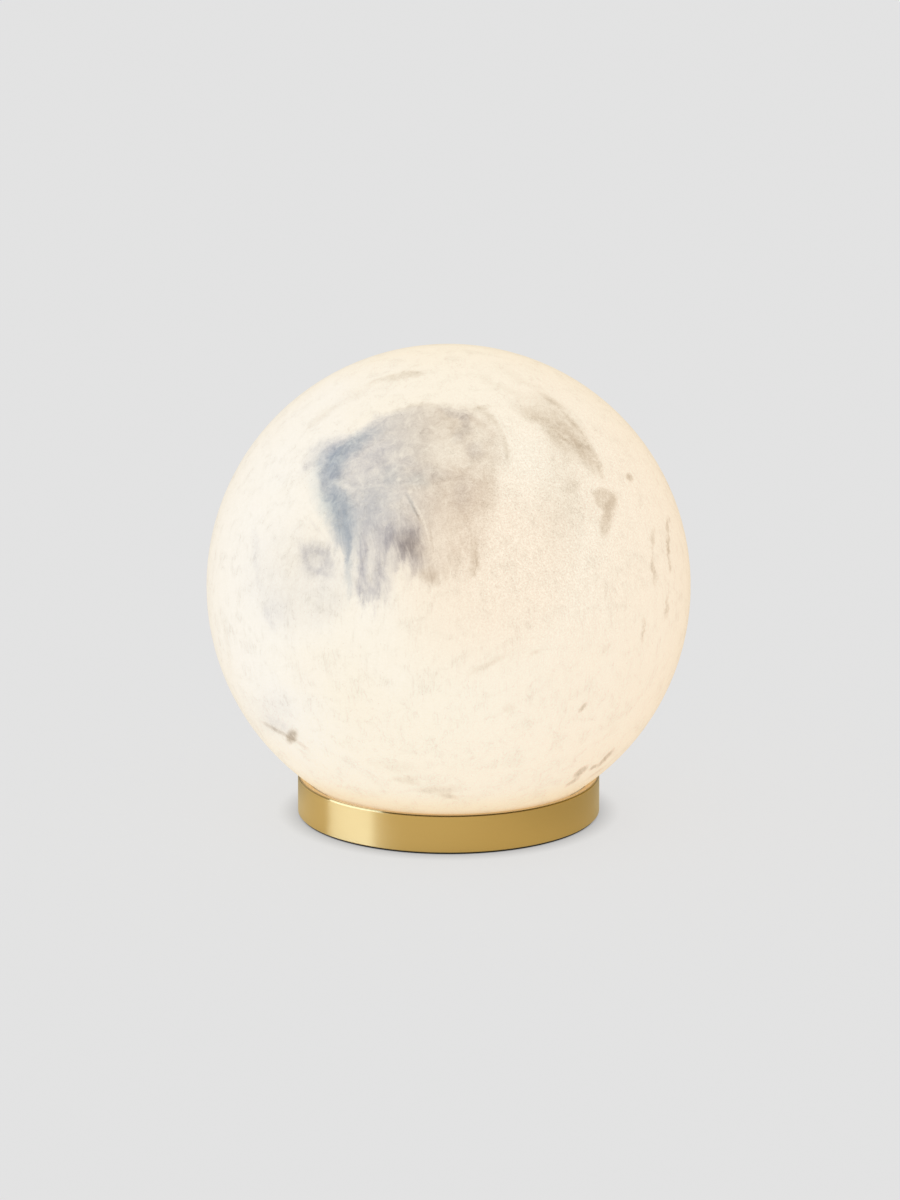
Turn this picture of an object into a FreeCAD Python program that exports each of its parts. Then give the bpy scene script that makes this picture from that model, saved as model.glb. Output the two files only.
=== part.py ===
"""Rechargeable table lamp: a hollow alabaster globe that glows, seated in a low polished brass ring.

The ring holds the battery, the charging electronics, a push button and a charging inlet at the back.
A neck rises from the ring through the globe's bore and carries the light engine under an opal dome.
Millimetres. The origin is the centre of the foot's underside, +Z is up, and the back is +Y.
"""
import FreeCAD, Part
import math
import os

Vec = FreeCAD.Vector
UP = Vec(0, 0, 1)
BACK = Vec(0, 1, 0)
CENTRE = Vec(0, 0, 0)

# Cutting tools run past the surface that they cut by this much.
OVERRUN = 1.0

# A wire's arc takes up this share of the shorter of its two runs.
BEND_SHARE = 0.45

# Globe
GLOBE_R = 80.0
GLOBE_WALL = 8.0
FLAT_LAND = 1.1
GLUE_LINE = 0.1

# Fits between the globe and the base
GLOBE_GAP = 0.3
COLLAR_CLEARANCE = 0.6
COLLAR_WALL = 1.6
COLLAR_FLANGE_T = 0.8
COLLAR_PROUD = 1.5
COLLAR_CHAMFER = 0.5
GASKET_W = 3.1
GASKET_INSET = 0.2

# Battery cells, side by side along X
CELL_R = 9.2
CELL_L = 65.0
CELL_GAP = 0.2
CELL_CLEARANCE = 0.6
CELL_NUB_R = 2.8
CELL_NUB_H = 0.9
CELL_EDGE_R = 0.8

# Brass ring
RING_WALL = 3.0
RING_FACE = 2.5
RING_EDGE_W = 0.25
RING_EDGE_H = 0.5
RING_FOOT_CHAMFER = 0.2
RING_FLANGE_W = 1.6
RING_FLANGE_T = 2.0
RECESS_STEP = 0.6
CHASSIS_CLEARANCE = 0.3

# Base plate, foot and insulating sheet
FOOT_T = 0.7
FOOT_INSET = 0.7
FOOT_W = 13.0
PLATE_T = 1.5
PLATE_CLEARANCE = 0.2
INSULATOR_T = 0.3
INSULATOR_INSET = 0.4

# Countersunk base screws
BASE_SCREW_R = 1.45
BASE_SCREW_HEAD_R = 2.75
BASE_SCREW_L = 6.0
BASE_SCREW_SOCKET_AF = 2.0
BASE_SCREW_SOCKET_DEPTH = 0.9
THREAD_GAP = 0.05
SCREW_ACCESS_GAP = 0.6
BOSS_R = 2.6
PILOT_END_GAP = 0.4
WEB_T = 2.0

# Chassis
NECK_WALL = 1.7
SEAT_PLATE_T = 1.0
SKIRT_WALL = 1.5
DECK_T = 2.0
RIM_H = 2.0
NOTCH_GAP = 0.5
POST_R = 2.2
POST_INSET = 3.5

# Battery tray, foam pad and cell links
TRAY_FLOOR = 1.1
TRAY_SADDLE_H = 5.4
TRAY_SIDE = 0.8
TRAY_CELL_GAP = 0.1
TRAY_END_GAP = 0.6
TRAY_END_T = 1.2
TRAY_END_W = 30.0
PAD_T = 1.0
PAD_L = 52.0
PAD_W = 28.0
LINK_T = 0.2
LINK_W = 7.6
LINK_RETURN_W = 3.0

# Protection board on the cells' positive end
GUARD_BOARD_T = 1.0
GUARD_BOARD_W = 16.0
GUARD_BOARD_H = 11.0
GUARD_BOARD_GAP = 0.5
GUARD_CHIP_T = 0.9
GUARD_CHIP_W = 4.0
GUARD_CHIP_H = 2.6
GUARD_CHIP_PITCH = 5.2
GUARD_CHIP_RISE = 1.3
GUARD_PAD_RISE = 6.0

# Main circuit board behind the cells
BOARD_T = 1.0
BOARD_W = 52.0
BOARD_BOSS_GAP = 1.4
BOARD_FRONT_GAP = 0.7
BOARD_RING_GAP = 0.4
UNDER_BOARD = 0.9
BOARD_SCREW_R = 1.0
BOARD_SCREW_HEAD_R = 1.9
BOARD_SCREW_HEAD_H = 0.7
BOARD_SCREW_L = 4.0
BOARD_SLOT_W = 1.0

# Charging inlet
USB_W = 8.94
USB_H = 3.26
USB_WALL = 0.3
USB_L = 7.35
USB_MOUTH_INSET = 2.1
USB_HEADROOM = 0.84
TONGUE_W = 6.69
TONGUE_T = 0.7
TONGUE_SETBACK = 0.6
TONGUE_BLOCK_L = 1.4
PORT_W = 13.0
PORT_H = 6.7
BEZEL_INSET = 1.6
BEZEL_GAP = 0.1
BEZEL_SHELL_GAP = 0.2

# Push button in the back of the ring
BUTTON_DEG = 24.0
BUTTON_R = 2.42
BUTTON_RUNNING_GAP = 0.08
BUTTON_PROUD = 0.4
BUTTON_TRAVEL = 0.8
BUTTON_CROWN = 0.25
BUTTON_STEM_W = 3.4
BUTTON_BAR_W = 8.4
BUTTON_BAR_H = 3.0
BUTTON_BAR_T = 0.7
BUTTON_BAR_GAP = 0.4
PLUNGER_R = 1.0
PLUNGER_L = 1.3
PLUNGER_GUIDE_L = 0.7
SWITCH_W = 6.0
SWITCH_DEPTH = 3.4

# Charging light
LIGHT_DEG = -15.0
LIGHT_R = 0.75
LIGHT_FRONT_INSET = 0.15
LIGHT_BLOCK_W = 2.2
LIGHT_BLOCK_L = 2.4
LIGHT_LED_W = 1.25
LIGHT_LED_L = 2.0
LIGHT_LED_H = 0.7
LIGHT_LED_GAP = 0.3

# Parts on the main board
INDUCTOR_W = 6.6
INDUCTOR_H = 4.0
INDUCTOR_FRONT_GAP = 2.7
INDUCTOR_FILLET = 1.2
INDUCTOR_SIDE_GAP = 0.9
CAPACITOR_R = 2.0
CAPACITOR_H = 5.4
CAPACITOR_COUNT = 3
CAPACITOR_PITCH = 2.5
CAPACITOR_STAGGER = 4.5
CAPACITOR_FRONT_GAP = 1.4
CAPACITOR_GROOVE = 0.25
CAPACITOR_GROOVE_RISE = 1.35
CHIP_T = 0.9
CHIP_LARGE_W = 4.0
CHIP_SMALL_W = 2.4
CHIP_PITCH = 5.2
CHIP_ROW_GAP = 2.0

# Wires and their connectors
WIRE_R = 0.5
WIRE_PITCH = 2.0
WIRE_GAP = 0.05
WIRE_STRAIGHT = 3.0
SOCKET_W = 7.2
SOCKET_D = 4.8
SOCKET_H = 5.4
SOCKET_WALL = 0.7
SOCKET_FLOOR = 0.8
PLUG_H = 6.2
PLUG_GAP = 0.1
SOCKET_FRONT_GAP = 0.6
SOCKET_NECK_GAP = 2.9
BATTERY_WIRE_SINK = 0.8
BATTERY_WIRE_STEP = 1.3
BATTERY_WIRE_CORNER_Y = 14.4
BATTERY_WIRE_SWING = 3.4

# Light engine
SPREADER_T = 2.0
LED_BOARD_T = 1.0
LED_SCREW_COUNT = 3
LED_SCREW_START_DEG = 30.0
LED_SCREW_INSET = 5.0
LED_SCREW_R = 1.25
LED_SCREW_HEAD_R = 2.25
LED_SCREW_HEAD_H = 1.5
LED_SCREW_L = 4.5
LED_SCREW_HEX_AF = 2.0
LED_SCREW_HEX_DEPTH = 1.0
LED_W = 2.8
LED_L = 3.5
LED_H = 0.7
LED_RING_INSET = 3.5
LED_RING_COUNT = 12
LED_INNER_R = 9.0
LED_INNER_COUNT = 6
LEAD_HOLE_R = 2.2
LEAD_HOLE_X = -8.0
LEAD_HOLE_GAP = 2.3
LEAD_HOLE_EDGE = 2.3
LEAD_RISE = 1.9
LEAD_INSET = 4.4
LEAD_LANDING = 3.3
DOME_WALL = 1.5
DOME_RISE = 26.0
DOME_SKIRT_H = 3.5
DOME_GAP = 0.2
SPREADER_GAP = 0.3

# Spring clips that hold the globe's collar down
CLIP_COUNT = 4
CLIP_T = 0.4
CLIP_W = 6.6
CLIP_TAB_L = 8.5
CLIP_POCKET_DEPTH = 0.8
CLIP_POCKET_GAP = 0.4
CLIP_BED_GAP = 0.05
CLIP_NOSE_REACH = 0.6
CLIP_NOSE_RISE = 1.3
CLIP_TAIL_DROP = 0.3
CLIP_LEG_DROP = 1.2
CLIP_POCKET_TAIL = 1.2

# Radii, worked out from the cells outwards
CELL_HALF_W = CELL_GAP / 2 + 2 * CELL_R
CELL_CORNER_R = math.hypot(CELL_L / 2, CELL_HALF_W)
NECK_IN_R = CELL_CORNER_R + CELL_CLEARANCE
NECK_OUT_R = NECK_IN_R + NECK_WALL
COLLAR_IN_R = NECK_OUT_R + COLLAR_CLEARANCE
COLLAR_OUT_R = COLLAR_IN_R + COLLAR_WALL
BORE_R = COLLAR_OUT_R + GLUE_LINE
FLAT_R = BORE_R + FLAT_LAND
GASKET_IN_R = FLAT_R + GLOBE_GAP
GASKET_OUT_R = GASKET_IN_R + GASKET_W
CHASSIS_R = GASKET_OUT_R + GASKET_INSET
RING_IN_R = CHASSIS_R + CHASSIS_CLEARANCE
RING_R = RING_IN_R + RING_WALL
FLANGE_IN_R = RING_IN_R - RING_FLANGE_W
RECESS_R = RING_IN_R + RECESS_STEP
SKIRT_IN_R = CHASSIS_R - SKIRT_WALL
BOSS_PCR = (NECK_OUT_R + SKIRT_IN_R) / 2
DOME_R = NECK_IN_R - DOME_GAP
DOME_IN_R = DOME_R - DOME_WALL
SPREADER_R = DOME_IN_R - SPREADER_GAP
LEAD_HOLE_PCR = SPREADER_R - LEAD_HOLE_EDGE - LEAD_HOLE_R
LEAD_HOLE_Y = math.sqrt(LEAD_HOLE_PCR ** 2 - LEAD_HOLE_X ** 2)
LED_BOARD_R = LEAD_HOLE_PCR - LEAD_HOLE_R - LEAD_HOLE_GAP
LED_SCREW_PCR = LED_BOARD_R - LED_SCREW_INSET
LED_RING_R = LED_SCREW_PCR - LED_RING_INSET

# Places on and beside the main board
BOARD_R = FLANGE_IN_R - BOARD_RING_GAP
BOARD_FRONT_Y = CELL_HALF_W + TRAY_SIDE + BOARD_FRONT_GAP
POST_X = BOARD_W / 2 - POST_INSET
POST_Y = math.sqrt(((NECK_IN_R + NECK_OUT_R) / 2) ** 2 - POST_X ** 2)
BASE_SCREW_X = BOARD_W / 2 + BOARD_BOSS_GAP + BOSS_R
BASE_SCREW_DEG = math.degrees(math.acos(BASE_SCREW_X / BOSS_PCR))
SOCKET_Y = BOARD_FRONT_Y + SOCKET_FRONT_GAP + SOCKET_D / 2
SOCKET_CORNER_R = NECK_IN_R - SOCKET_NECK_GAP
SOCKET_X = math.sqrt(SOCKET_CORNER_R ** 2 - (SOCKET_Y + SOCKET_D / 2) ** 2) - SOCKET_W / 2
CAPACITOR_ROW_L = (CAPACITOR_COUNT - 1) * CAPACITOR_PITCH
PART_ROW_L = INDUCTOR_W + INDUCTOR_SIDE_GAP + CAPACITOR_ROW_L + 2 * CAPACITOR_R
INDUCTOR_X = INDUCTOR_W / 2 - PART_ROW_L / 2
INDUCTOR_Y = BOARD_FRONT_Y + INDUCTOR_FRONT_GAP + INDUCTOR_W / 2
CAPACITOR_X = PART_ROW_L / 2 - CAPACITOR_R - CAPACITOR_ROW_L
CAPACITOR_Y = BOARD_FRONT_Y + CAPACITOR_FRONT_GAP + CAPACITOR_R

# Heights, worked out from the foot upwards
PLATE_TOP = FOOT_T + PLATE_T
INSULATOR_TOP = PLATE_TOP + INSULATOR_T
FLANGE_TOP = PLATE_TOP + RING_FLANGE_T
CELL_Z = INSULATOR_TOP + TRAY_FLOOR + CELL_R
CELL_TOP = CELL_Z + CELL_R
DECK_Z = CELL_TOP + PAD_T
DECK_TOP = DECK_Z + DECK_T
SPREADER_TOP = DECK_TOP + SPREADER_T
LED_BOARD_TOP = SPREADER_TOP + LED_BOARD_T
BOARD_Z = INSULATOR_TOP + UNDER_BOARD
BOARD_TOP = BOARD_Z + BOARD_T
PORT_Z = BOARD_TOP + USB_H / 2
CEILING_Z = BOARD_TOP + USB_H + USB_HEADROOM
SEAT_Z = CEILING_Z + SEAT_PLATE_T
FLAT_Z = SEAT_Z + COLLAR_FLANGE_T
GLOBE_Z = FLAT_Z + math.sqrt(GLOBE_R ** 2 - FLAT_R ** 2)
RING_TOP = GLOBE_Z - math.sqrt(GLOBE_R ** 2 - (RING_R - RING_FACE) ** 2)
COLLAR_TOP = GLOBE_Z - math.sqrt((GLOBE_R - GLOBE_WALL) ** 2 - BORE_R ** 2) + COLLAR_PROUD
DOME_TOP = DECK_TOP + DOME_SKIRT_H + DOME_RISE


def disc(radius, z0, z1, x=0, y=0):
    """A solid cylinder standing on z0 and reaching z1."""
    return Part.makeCylinder(radius, z1 - z0, Vec(x, y, z0), UP)


def tube(outer, inner, z0, z1, x=0, y=0):
    """A plain ring between two radii."""
    return disc(outer, z0, z1, x, y).cut(disc(inner, z0 - OVERRUN, z1 + OVERRUN, x, y))


def block(x0, x1, y0, y1, z0, z1):
    """A box given by its limits along each axis."""
    return Part.makeBox(x1 - x0, y1 - y0, z1 - z0, Vec(x0, y0, z0))


def turned(edges):
    """A solid turned about Z from a closed outline in the X-Z plane."""
    return Part.Face(Part.Wire(edges)).revolve(CENTRE, UP, 360)


def line(a, b):
    """A straight edge of an outline, between two (radius, height) points."""
    return Part.LineSegment(Vec(a[0], 0, a[1]), Vec(b[0], 0, b[1])).toShape()


def arc(a, middle, b):
    """An arc of an outline through three (radius, height) points."""
    points = [Vec(p[0], 0, p[1]) for p in (a, middle, b)]
    return Part.Arc(*points).toShape()


def polygon(points):
    """The edges of a closed outline with straight sides."""
    return [line(a, b) for a, b in zip(points, points[1:] + points[:1])]


def on_circle(radius, centre_z, r):
    """The point at radius r on the lower half of a circle centred on the axis."""
    return (r, centre_z - math.sqrt(radius ** 2 - r ** 2))


def turn(shape, degrees):
    """A copy turned about Z."""
    copy = shape.copy()
    copy.rotate(CENTRE, UP, degrees)
    return copy


def at_back(shape, degrees):
    """A copy of something drawn at the back centre, moved round the ring towards +X."""
    return turn(shape, -degrees)


def stadium(width, height, y0, y1, x, z):
    """A rod along Y with a section of two half circles joined by flats."""
    radius = height / 2
    half = width / 2 - radius
    rod = block(x - half, x + half, y0, y1, z - radius, z + radius)
    for side in (-half, half):
        rod = rod.fuse(Part.makeCylinder(radius, y1 - y0, Vec(x + side, y0, z), BACK))
    return rod.removeSplitter()


def hexagon(across_flats, z0, z1, x=0, y=0):
    """A hexagonal prism."""
    radius = across_flats / math.sqrt(3)
    angles = [k * math.pi / 3 for k in range(6)]
    corners = [Vec(x + radius * math.cos(a), y + radius * math.sin(a), z0) for a in angles]
    return Part.Face(Part.makePolygon(corners + corners[:1])).extrude(UP * (z1 - z0))


def around(shape, count, start=0):
    """Copies of a shape set evenly about Z."""
    return [turn(shape, start + k * 360 / count) for k in range(count)]


def at_base_screws(shape):
    """Copies of something drawn on the +X axis, turned to the four base screws beside the main board."""
    angles = (BASE_SCREW_DEG, 180 - BASE_SCREW_DEG, 180 + BASE_SCREW_DEG, -BASE_SCREW_DEG)
    return [turn(shape, angle) for angle in angles]


def all_of(shapes):
    """Separate solids kept as one group."""
    return Part.makeCompound(shapes)


def cut_all(shape, tools):
    """A shape with each tool cut from it in turn."""
    for tool in tools:
        shape = shape.cut(tool)
    return shape


def wire_along(points, radius):
    """A round wire on straight runs joined by tangent arcs, each as large as its two runs allow."""
    edges = []
    start = points[0]
    for before, corner, after in zip(points, points[1:], points[2:]):
        back = (before - corner).normalize()
        ahead = (after - corner).normalize()
        half_turn = (math.pi - back.getAngle(ahead)) / 2
        tangent = BEND_SHARE * min(before.distanceToPoint(corner), corner.distanceToPoint(after))
        bend = tangent / math.tan(half_turn)
        entry = corner + back * tangent
        leave = corner + ahead * tangent
        inward = (back + ahead).normalize()
        apex = corner + inward * (bend / math.cos(half_turn) - bend)
        edges.append(Part.LineSegment(start, entry).toShape())
        edges.append(Part.Arc(entry, apex, leave).toShape())
        start = leave
    edges.append(Part.LineSegment(start, points[-1]).toShape())
    path = Part.Wire(edges)
    section = Part.Wire([Part.Circle(points[0], (points[1] - points[0]).normalize(), radius).toShape()])
    wire = path.makePipeShell([section], True, False)
    ideal = math.pi * radius ** 2 * path.Length
    length = round(path.Length, 1)
    print("wire length", length, "volume against section times length", round(wire.Volume / ideal, 3))
    return wire


# Globe, collar and gasket


def alabaster_globe():
    """The hollow stone globe, cut flat at the bottom, with its bore."""
    inner_r = GLOBE_R - GLOBE_WALL
    top = GLOBE_Z + GLOBE_R
    mouth = on_circle(inner_r, GLOBE_Z, BORE_R)
    flat = (FLAT_R, FLAT_Z)
    bore = (BORE_R, FLAT_Z)
    return turned([
        arc(flat, (GLOBE_R, GLOBE_Z), (0, top)),
        line((0, top), (0, top - GLOBE_WALL)),
        arc((0, top - GLOBE_WALL), (inner_r, GLOBE_Z), mouth),
        line(mouth, bore),
        line(bore, flat),
    ])


def globe_collar():
    """The collar bonded into the bore. Its flange sits under the globe, on the chassis."""
    return turned(polygon([
        (COLLAR_IN_R, SEAT_Z),
        (FLAT_R - GLUE_LINE, SEAT_Z),
        (FLAT_R - GLUE_LINE, FLAT_Z),
        (COLLAR_OUT_R, FLAT_Z),
        (COLLAR_OUT_R, COLLAR_TOP),
        (COLLAR_IN_R + COLLAR_CHAMFER, COLLAR_TOP),
        (COLLAR_IN_R, COLLAR_TOP - COLLAR_CHAMFER),
    ]))


def seat_gasket():
    """The soft ring under the globe. Its top follows the globe, a small gap below it."""
    reach = GLOBE_R + GLOBE_GAP
    inner = on_circle(reach, GLOBE_Z, GASKET_IN_R)
    middle = on_circle(reach, GLOBE_Z, (GASKET_IN_R + GASKET_OUT_R) / 2)
    outer = on_circle(reach, GLOBE_Z, GASKET_OUT_R)
    return turned([
        line((GASKET_IN_R, SEAT_Z), (GASKET_OUT_R, SEAT_Z)),
        line((GASKET_OUT_R, SEAT_Z), outer),
        arc(outer, middle, inner),
        line(inner, (GASKET_IN_R, SEAT_Z)),
    ])


# Base


def ring_body():
    """The turned ring before its rear openings are milled."""
    reach = GLOBE_R + GLOBE_GAP
    lip = (math.sqrt(reach ** 2 - (GLOBE_Z - RING_TOP) ** 2), RING_TOP)
    relief = on_circle(reach, GLOBE_Z, RING_IN_R)
    middle = on_circle(reach, GLOBE_Z, (lip[0] + RING_IN_R) / 2)
    outline = [
        (RING_IN_R, FLANGE_TOP),
        (FLANGE_IN_R, FLANGE_TOP),
        (FLANGE_IN_R, PLATE_TOP),
        (RECESS_R, PLATE_TOP),
        (RECESS_R, FOOT_T),
        (RING_R - RING_FOOT_CHAMFER, FOOT_T),
        (RING_R, FOOT_T + RING_FOOT_CHAMFER),
        (RING_R, RING_TOP - RING_EDGE_H),
        (RING_R - RING_EDGE_W, RING_TOP),
        lip,
    ]
    edges = [line(relief, outline[0])]
    edges += [line(a, b) for a, b in zip(outline, outline[1:])]
    edges.append(arc(lip, middle, relief))
    return turned(edges)


def rear_relief():
    """The part of the inner flange milled away behind the inlet and the button."""
    half = BUTTON_BAR_W / 2 + RING_WALL
    sector = at_back(block(-half, half, 0, RING_R, PLATE_TOP, FLANGE_TOP), BUTTON_DEG)
    sector = sector.fuse(block(-PORT_W / 2, PORT_W / 2, 0, RING_R, PLATE_TOP, FLANGE_TOP))
    return sector.common(disc(RING_IN_R, PLATE_TOP, FLANGE_TOP))


def brass_ring():
    """The ring with its inlet slot, button hole and light hole."""
    through = RING_R + OVERRUN
    button = Part.makeCylinder(BUTTON_R + BUTTON_RUNNING_GAP, through, Vec(0, 0, PORT_Z), BACK)
    light = Part.makeCylinder(LIGHT_R + BEZEL_GAP, through, Vec(0, 0, PORT_Z), BACK)
    return cut_all(ring_body(), [
        stadium(PORT_W, PORT_H, 0, through, 0, PORT_Z),
        at_back(button, BUTTON_DEG),
        at_back(light, LIGHT_DEG),
        rear_relief(),
    ])


def base_screw_blank(gap):
    """A countersunk screw's body with a gap all round, drawn on the +X axis."""
    head_h = PLATE_T - THREAD_GAP
    cone = Part.makeCone(
        BASE_SCREW_HEAD_R + gap, BASE_SCREW_R + gap, head_h, Vec(BOSS_PCR, 0, FOOT_T), UP)
    return cone.fuse(disc(BASE_SCREW_R + gap, FOOT_T, FOOT_T + BASE_SCREW_L + gap, BOSS_PCR))


def base_screws():
    """Four countersunk screws with hexagon sockets."""
    socket = hexagon(BASE_SCREW_SOCKET_AF, FOOT_T - OVERRUN, FOOT_T + BASE_SCREW_SOCKET_DEPTH, BOSS_PCR)
    screw = base_screw_blank(0).cut(socket)
    return all_of(at_base_screws(screw))


def base_plate():
    """The steel disc that closes the ring from below."""
    plate = disc(RECESS_R - PLATE_CLEARANCE, FOOT_T, PLATE_TOP)
    return cut_all(plate, at_base_screws(base_screw_blank(THREAD_GAP)))


def foot_pad():
    """The soft foot, a flat ring with access holes for the screws."""
    outer = RING_R - FOOT_INSET
    access = disc(BASE_SCREW_HEAD_R + SCREW_ACCESS_GAP, -OVERRUN, FOOT_T + OVERRUN, BOSS_PCR)
    pad = tube(outer, outer - FOOT_W, 0, FOOT_T)
    return cut_all(pad, at_base_screws(access))


def base_insulator():
    """The insulating sheet between the base plate and the electronics."""
    sheet = disc(FLANGE_IN_R - INSULATOR_INSET, PLATE_TOP, INSULATOR_TOP)
    hole = disc(BOSS_R + GLOBE_GAP, PLATE_TOP - OVERRUN, INSULATOR_TOP + OVERRUN, BOSS_PCR)
    return cut_all(sheet, at_base_screws(hole))


# Chassis


def boss():
    """A screw boss under the seat, braced to the walls on both sides."""
    pillar = disc(BOSS_R, PLATE_TOP, CEILING_Z, BOSS_PCR)
    web = block(NECK_IN_R, CHASSIS_R - SKIRT_WALL / 2, -WEB_T / 2, WEB_T / 2, FLANGE_TOP, CEILING_Z)
    return pillar.fuse(web.common(tube(CHASSIS_R, (NECK_IN_R + NECK_OUT_R) / 2, FLANGE_TOP, CEILING_Z)))


def rear_notch():
    """The space under the seat for the circuit board and what stands on its edge."""
    half = BOARD_W / 2 + NOTCH_GAP
    return block(-half, half, BOARD_FRONT_Y - NOTCH_GAP, RING_R, PLATE_TOP, CEILING_Z)


def board_post(x):
    """A post that hangs from the seat down to the circuit board."""
    return disc(POST_R, BOARD_TOP, CEILING_Z + SEAT_PLATE_T / 2, x, POST_Y)


def clip_pocket():
    """The groove in the deck and down the neck that one spring clip lies in, on the +X axis."""
    half = CLIP_W / 2 + CLIP_POCKET_GAP
    bed_z = DECK_TOP - CLIP_T - 2 * CLIP_BED_GAP
    inner = NECK_OUT_R - CLIP_TAB_L - CLIP_POCKET_GAP
    groove = block(inner, NECK_OUT_R + OVERRUN, -half, half, bed_z, DECK_TOP + RIM_H)
    floor_x = NECK_OUT_R - CLIP_POCKET_DEPTH
    drop = COLLAR_TOP - CLIP_TAIL_DROP - CLIP_POCKET_TAIL
    return groove.fuse(block(floor_x, NECK_OUT_R + OVERRUN, -half, half, drop, DECK_TOP + RIM_H))


def pilot(radius, x, y, z0, z1):
    """A blind screw hole."""
    return disc(radius + THREAD_GAP, z0, z1, x, y)


def led_screw_places():
    """Where the light engine's screws stand."""
    angles = [math.radians(LED_SCREW_START_DEG + k * 360 / LED_SCREW_COUNT) for k in range(LED_SCREW_COUNT)]
    return [(LED_SCREW_PCR * math.cos(a), LED_SCREW_PCR * math.sin(a)) for a in angles]


def chassis():
    """The moulded carrier: neck, deck, seat, skirt, bosses and posts in one piece."""
    body = tube(NECK_OUT_R, NECK_IN_R, FLANGE_TOP, DECK_TOP + RIM_H)
    body = body.fuse(disc(NECK_OUT_R, DECK_Z, DECK_TOP))
    body = body.fuse(tube(CHASSIS_R, NECK_IN_R, CEILING_Z, SEAT_Z))
    body = body.fuse(tube(CHASSIS_R, SKIRT_IN_R, FLANGE_TOP, SEAT_Z))
    for pillar in at_base_screws(boss()):
        body = body.fuse(pillar)
    body = body.cut(rear_notch())
    for x in (-POST_X, POST_X):
        body = body.fuse(board_post(x))
    hole_top = FOOT_T + BASE_SCREW_L + PILOT_END_GAP
    base_hole = pilot(BASE_SCREW_R, BOSS_PCR, 0, PLATE_TOP - OVERRUN, hole_top)
    tools = at_base_screws(base_hole)
    tools += around(clip_pocket(), CLIP_COUNT)
    post_top = BOARD_Z + BOARD_SCREW_L + PILOT_END_GAP
    tools += [pilot(BOARD_SCREW_R, x, POST_Y, BOARD_Z, post_top) for x in (-POST_X, POST_X)]
    tools += [pilot(LED_SCREW_R, x, y, DECK_Z - OVERRUN, DECK_TOP + OVERRUN) for x, y in led_screw_places()]
    tools.append(disc(LEAD_HOLE_R, DECK_Z - OVERRUN, DECK_TOP + OVERRUN, LEAD_HOLE_X, LEAD_HOLE_Y))
    return cut_all(body, tools).removeSplitter()


def mitred_ribbon(points, thickness):
    """The closed outline of a strip of even thickness along (radius, height) points."""
    left, right = [], []
    for k, point in enumerate(points):
        here = Vec(point[0], 0, point[1])
        ways = []
        if k > 0:
            ways.append((here - Vec(points[k - 1][0], 0, points[k - 1][1])).normalize())
        if k < len(points) - 1:
            ways.append((Vec(points[k + 1][0], 0, points[k + 1][1]) - here).normalize())
        normals = [Vec(w.z, 0, -w.x) for w in ways]
        mean = (normals[0] + normals[-1]).normalize()
        offset = mean * (thickness / 2 / mean.dot(normals[0]))
        left.append(here + offset)
        right.append(here - offset)
    return [(p.x, p.z) for p in left + right[::-1]]


def globe_clips():
    """Four spring leaves: a tab clamped under the heat spreader, and a nose over the collar."""
    tab_z = DECK_TOP - CLIP_T / 2 - CLIP_BED_GAP
    leg_r = NECK_OUT_R - CLIP_POCKET_DEPTH + CLIP_BED_GAP + CLIP_T / 2
    route = [
        (NECK_OUT_R - CLIP_TAB_L, tab_z),
        (leg_r, tab_z),
        (leg_r, tab_z - CLIP_LEG_DROP),
        (COLLAR_IN_R + CLIP_NOSE_REACH, COLLAR_TOP + CLIP_NOSE_RISE),
        (leg_r, COLLAR_TOP - CLIP_TAIL_DROP),
    ]
    leaf = Part.Face(Part.Wire(polygon(mitred_ribbon(route, CLIP_T))))
    leaf.translate(Vec(0, -CLIP_W / 2, 0))
    return all_of(around(leaf.extrude(BACK * CLIP_W), CLIP_COUNT))


# Battery pack


def cell_row(radius, half_length):
    """Two cylinders where the cells lie, of any radius and length."""
    y = CELL_GAP / 2 + CELL_R
    return [
        Part.makeCylinder(radius, 2 * half_length, Vec(-half_length, side * y, CELL_Z), Vec(1, 0, 0))
        for side in (-1, 1)
    ]


def battery_cell(side):
    """One cell: a can with rounded rims and a raised positive pole at +X."""
    y = side * (CELL_GAP / 2 + CELL_R)
    half = CELL_L / 2
    can = Part.makeCylinder(CELL_R, CELL_L - CELL_NUB_H, Vec(-half, y, CELL_Z), Vec(1, 0, 0))
    can = can.makeFillet(CELL_EDGE_R, [e for e in can.Edges if e.Length > CELL_R and len(e.Vertexes) == 1])
    pole = Part.makeCylinder(CELL_NUB_R, CELL_L / 2, Vec(0, y, CELL_Z), Vec(1, 0, 0))
    return can.fuse(pole)


def battery_tray():
    """The cradle under the cells, with a low wall at each end."""
    top = INSULATOR_TOP + TRAY_FLOOR + TRAY_SADDLE_H
    half_w = CELL_HALF_W + TRAY_SIDE
    end_x = CELL_L / 2 + TRAY_END_GAP
    tray = block(-end_x, end_x, -half_w, half_w, INSULATOR_TOP, top)
    tray = cut_all(tray, cell_row(CELL_R + TRAY_CELL_GAP, end_x + OVERRUN))
    for side in (-1, 1):
        wall = [end_x, end_x + TRAY_END_T] if side > 0 else [-end_x - TRAY_END_T, -end_x]
        tray = tray.fuse(block(wall[0], wall[1], -TRAY_END_W / 2, TRAY_END_W / 2, INSULATOR_TOP, top))
    return tray.common(disc(NECK_IN_R - CELL_CLEARANCE / 2, INSULATOR_TOP, top)).removeSplitter()


def battery_pad():
    """The foam pad between the cells and the deck."""
    return block(-PAD_L / 2, PAD_L / 2, -PAD_W / 2, PAD_W / 2, CELL_TOP, DECK_Z)


def valley_z():
    """The height at which the return link lies in the valley between the cells."""
    centre_y = CELL_GAP / 2 + CELL_R
    side = LINK_RETURN_W / 2
    return CELL_Z + math.sqrt(CELL_R ** 2 - (centre_y - side) ** 2) + LINK_T / 2


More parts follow.
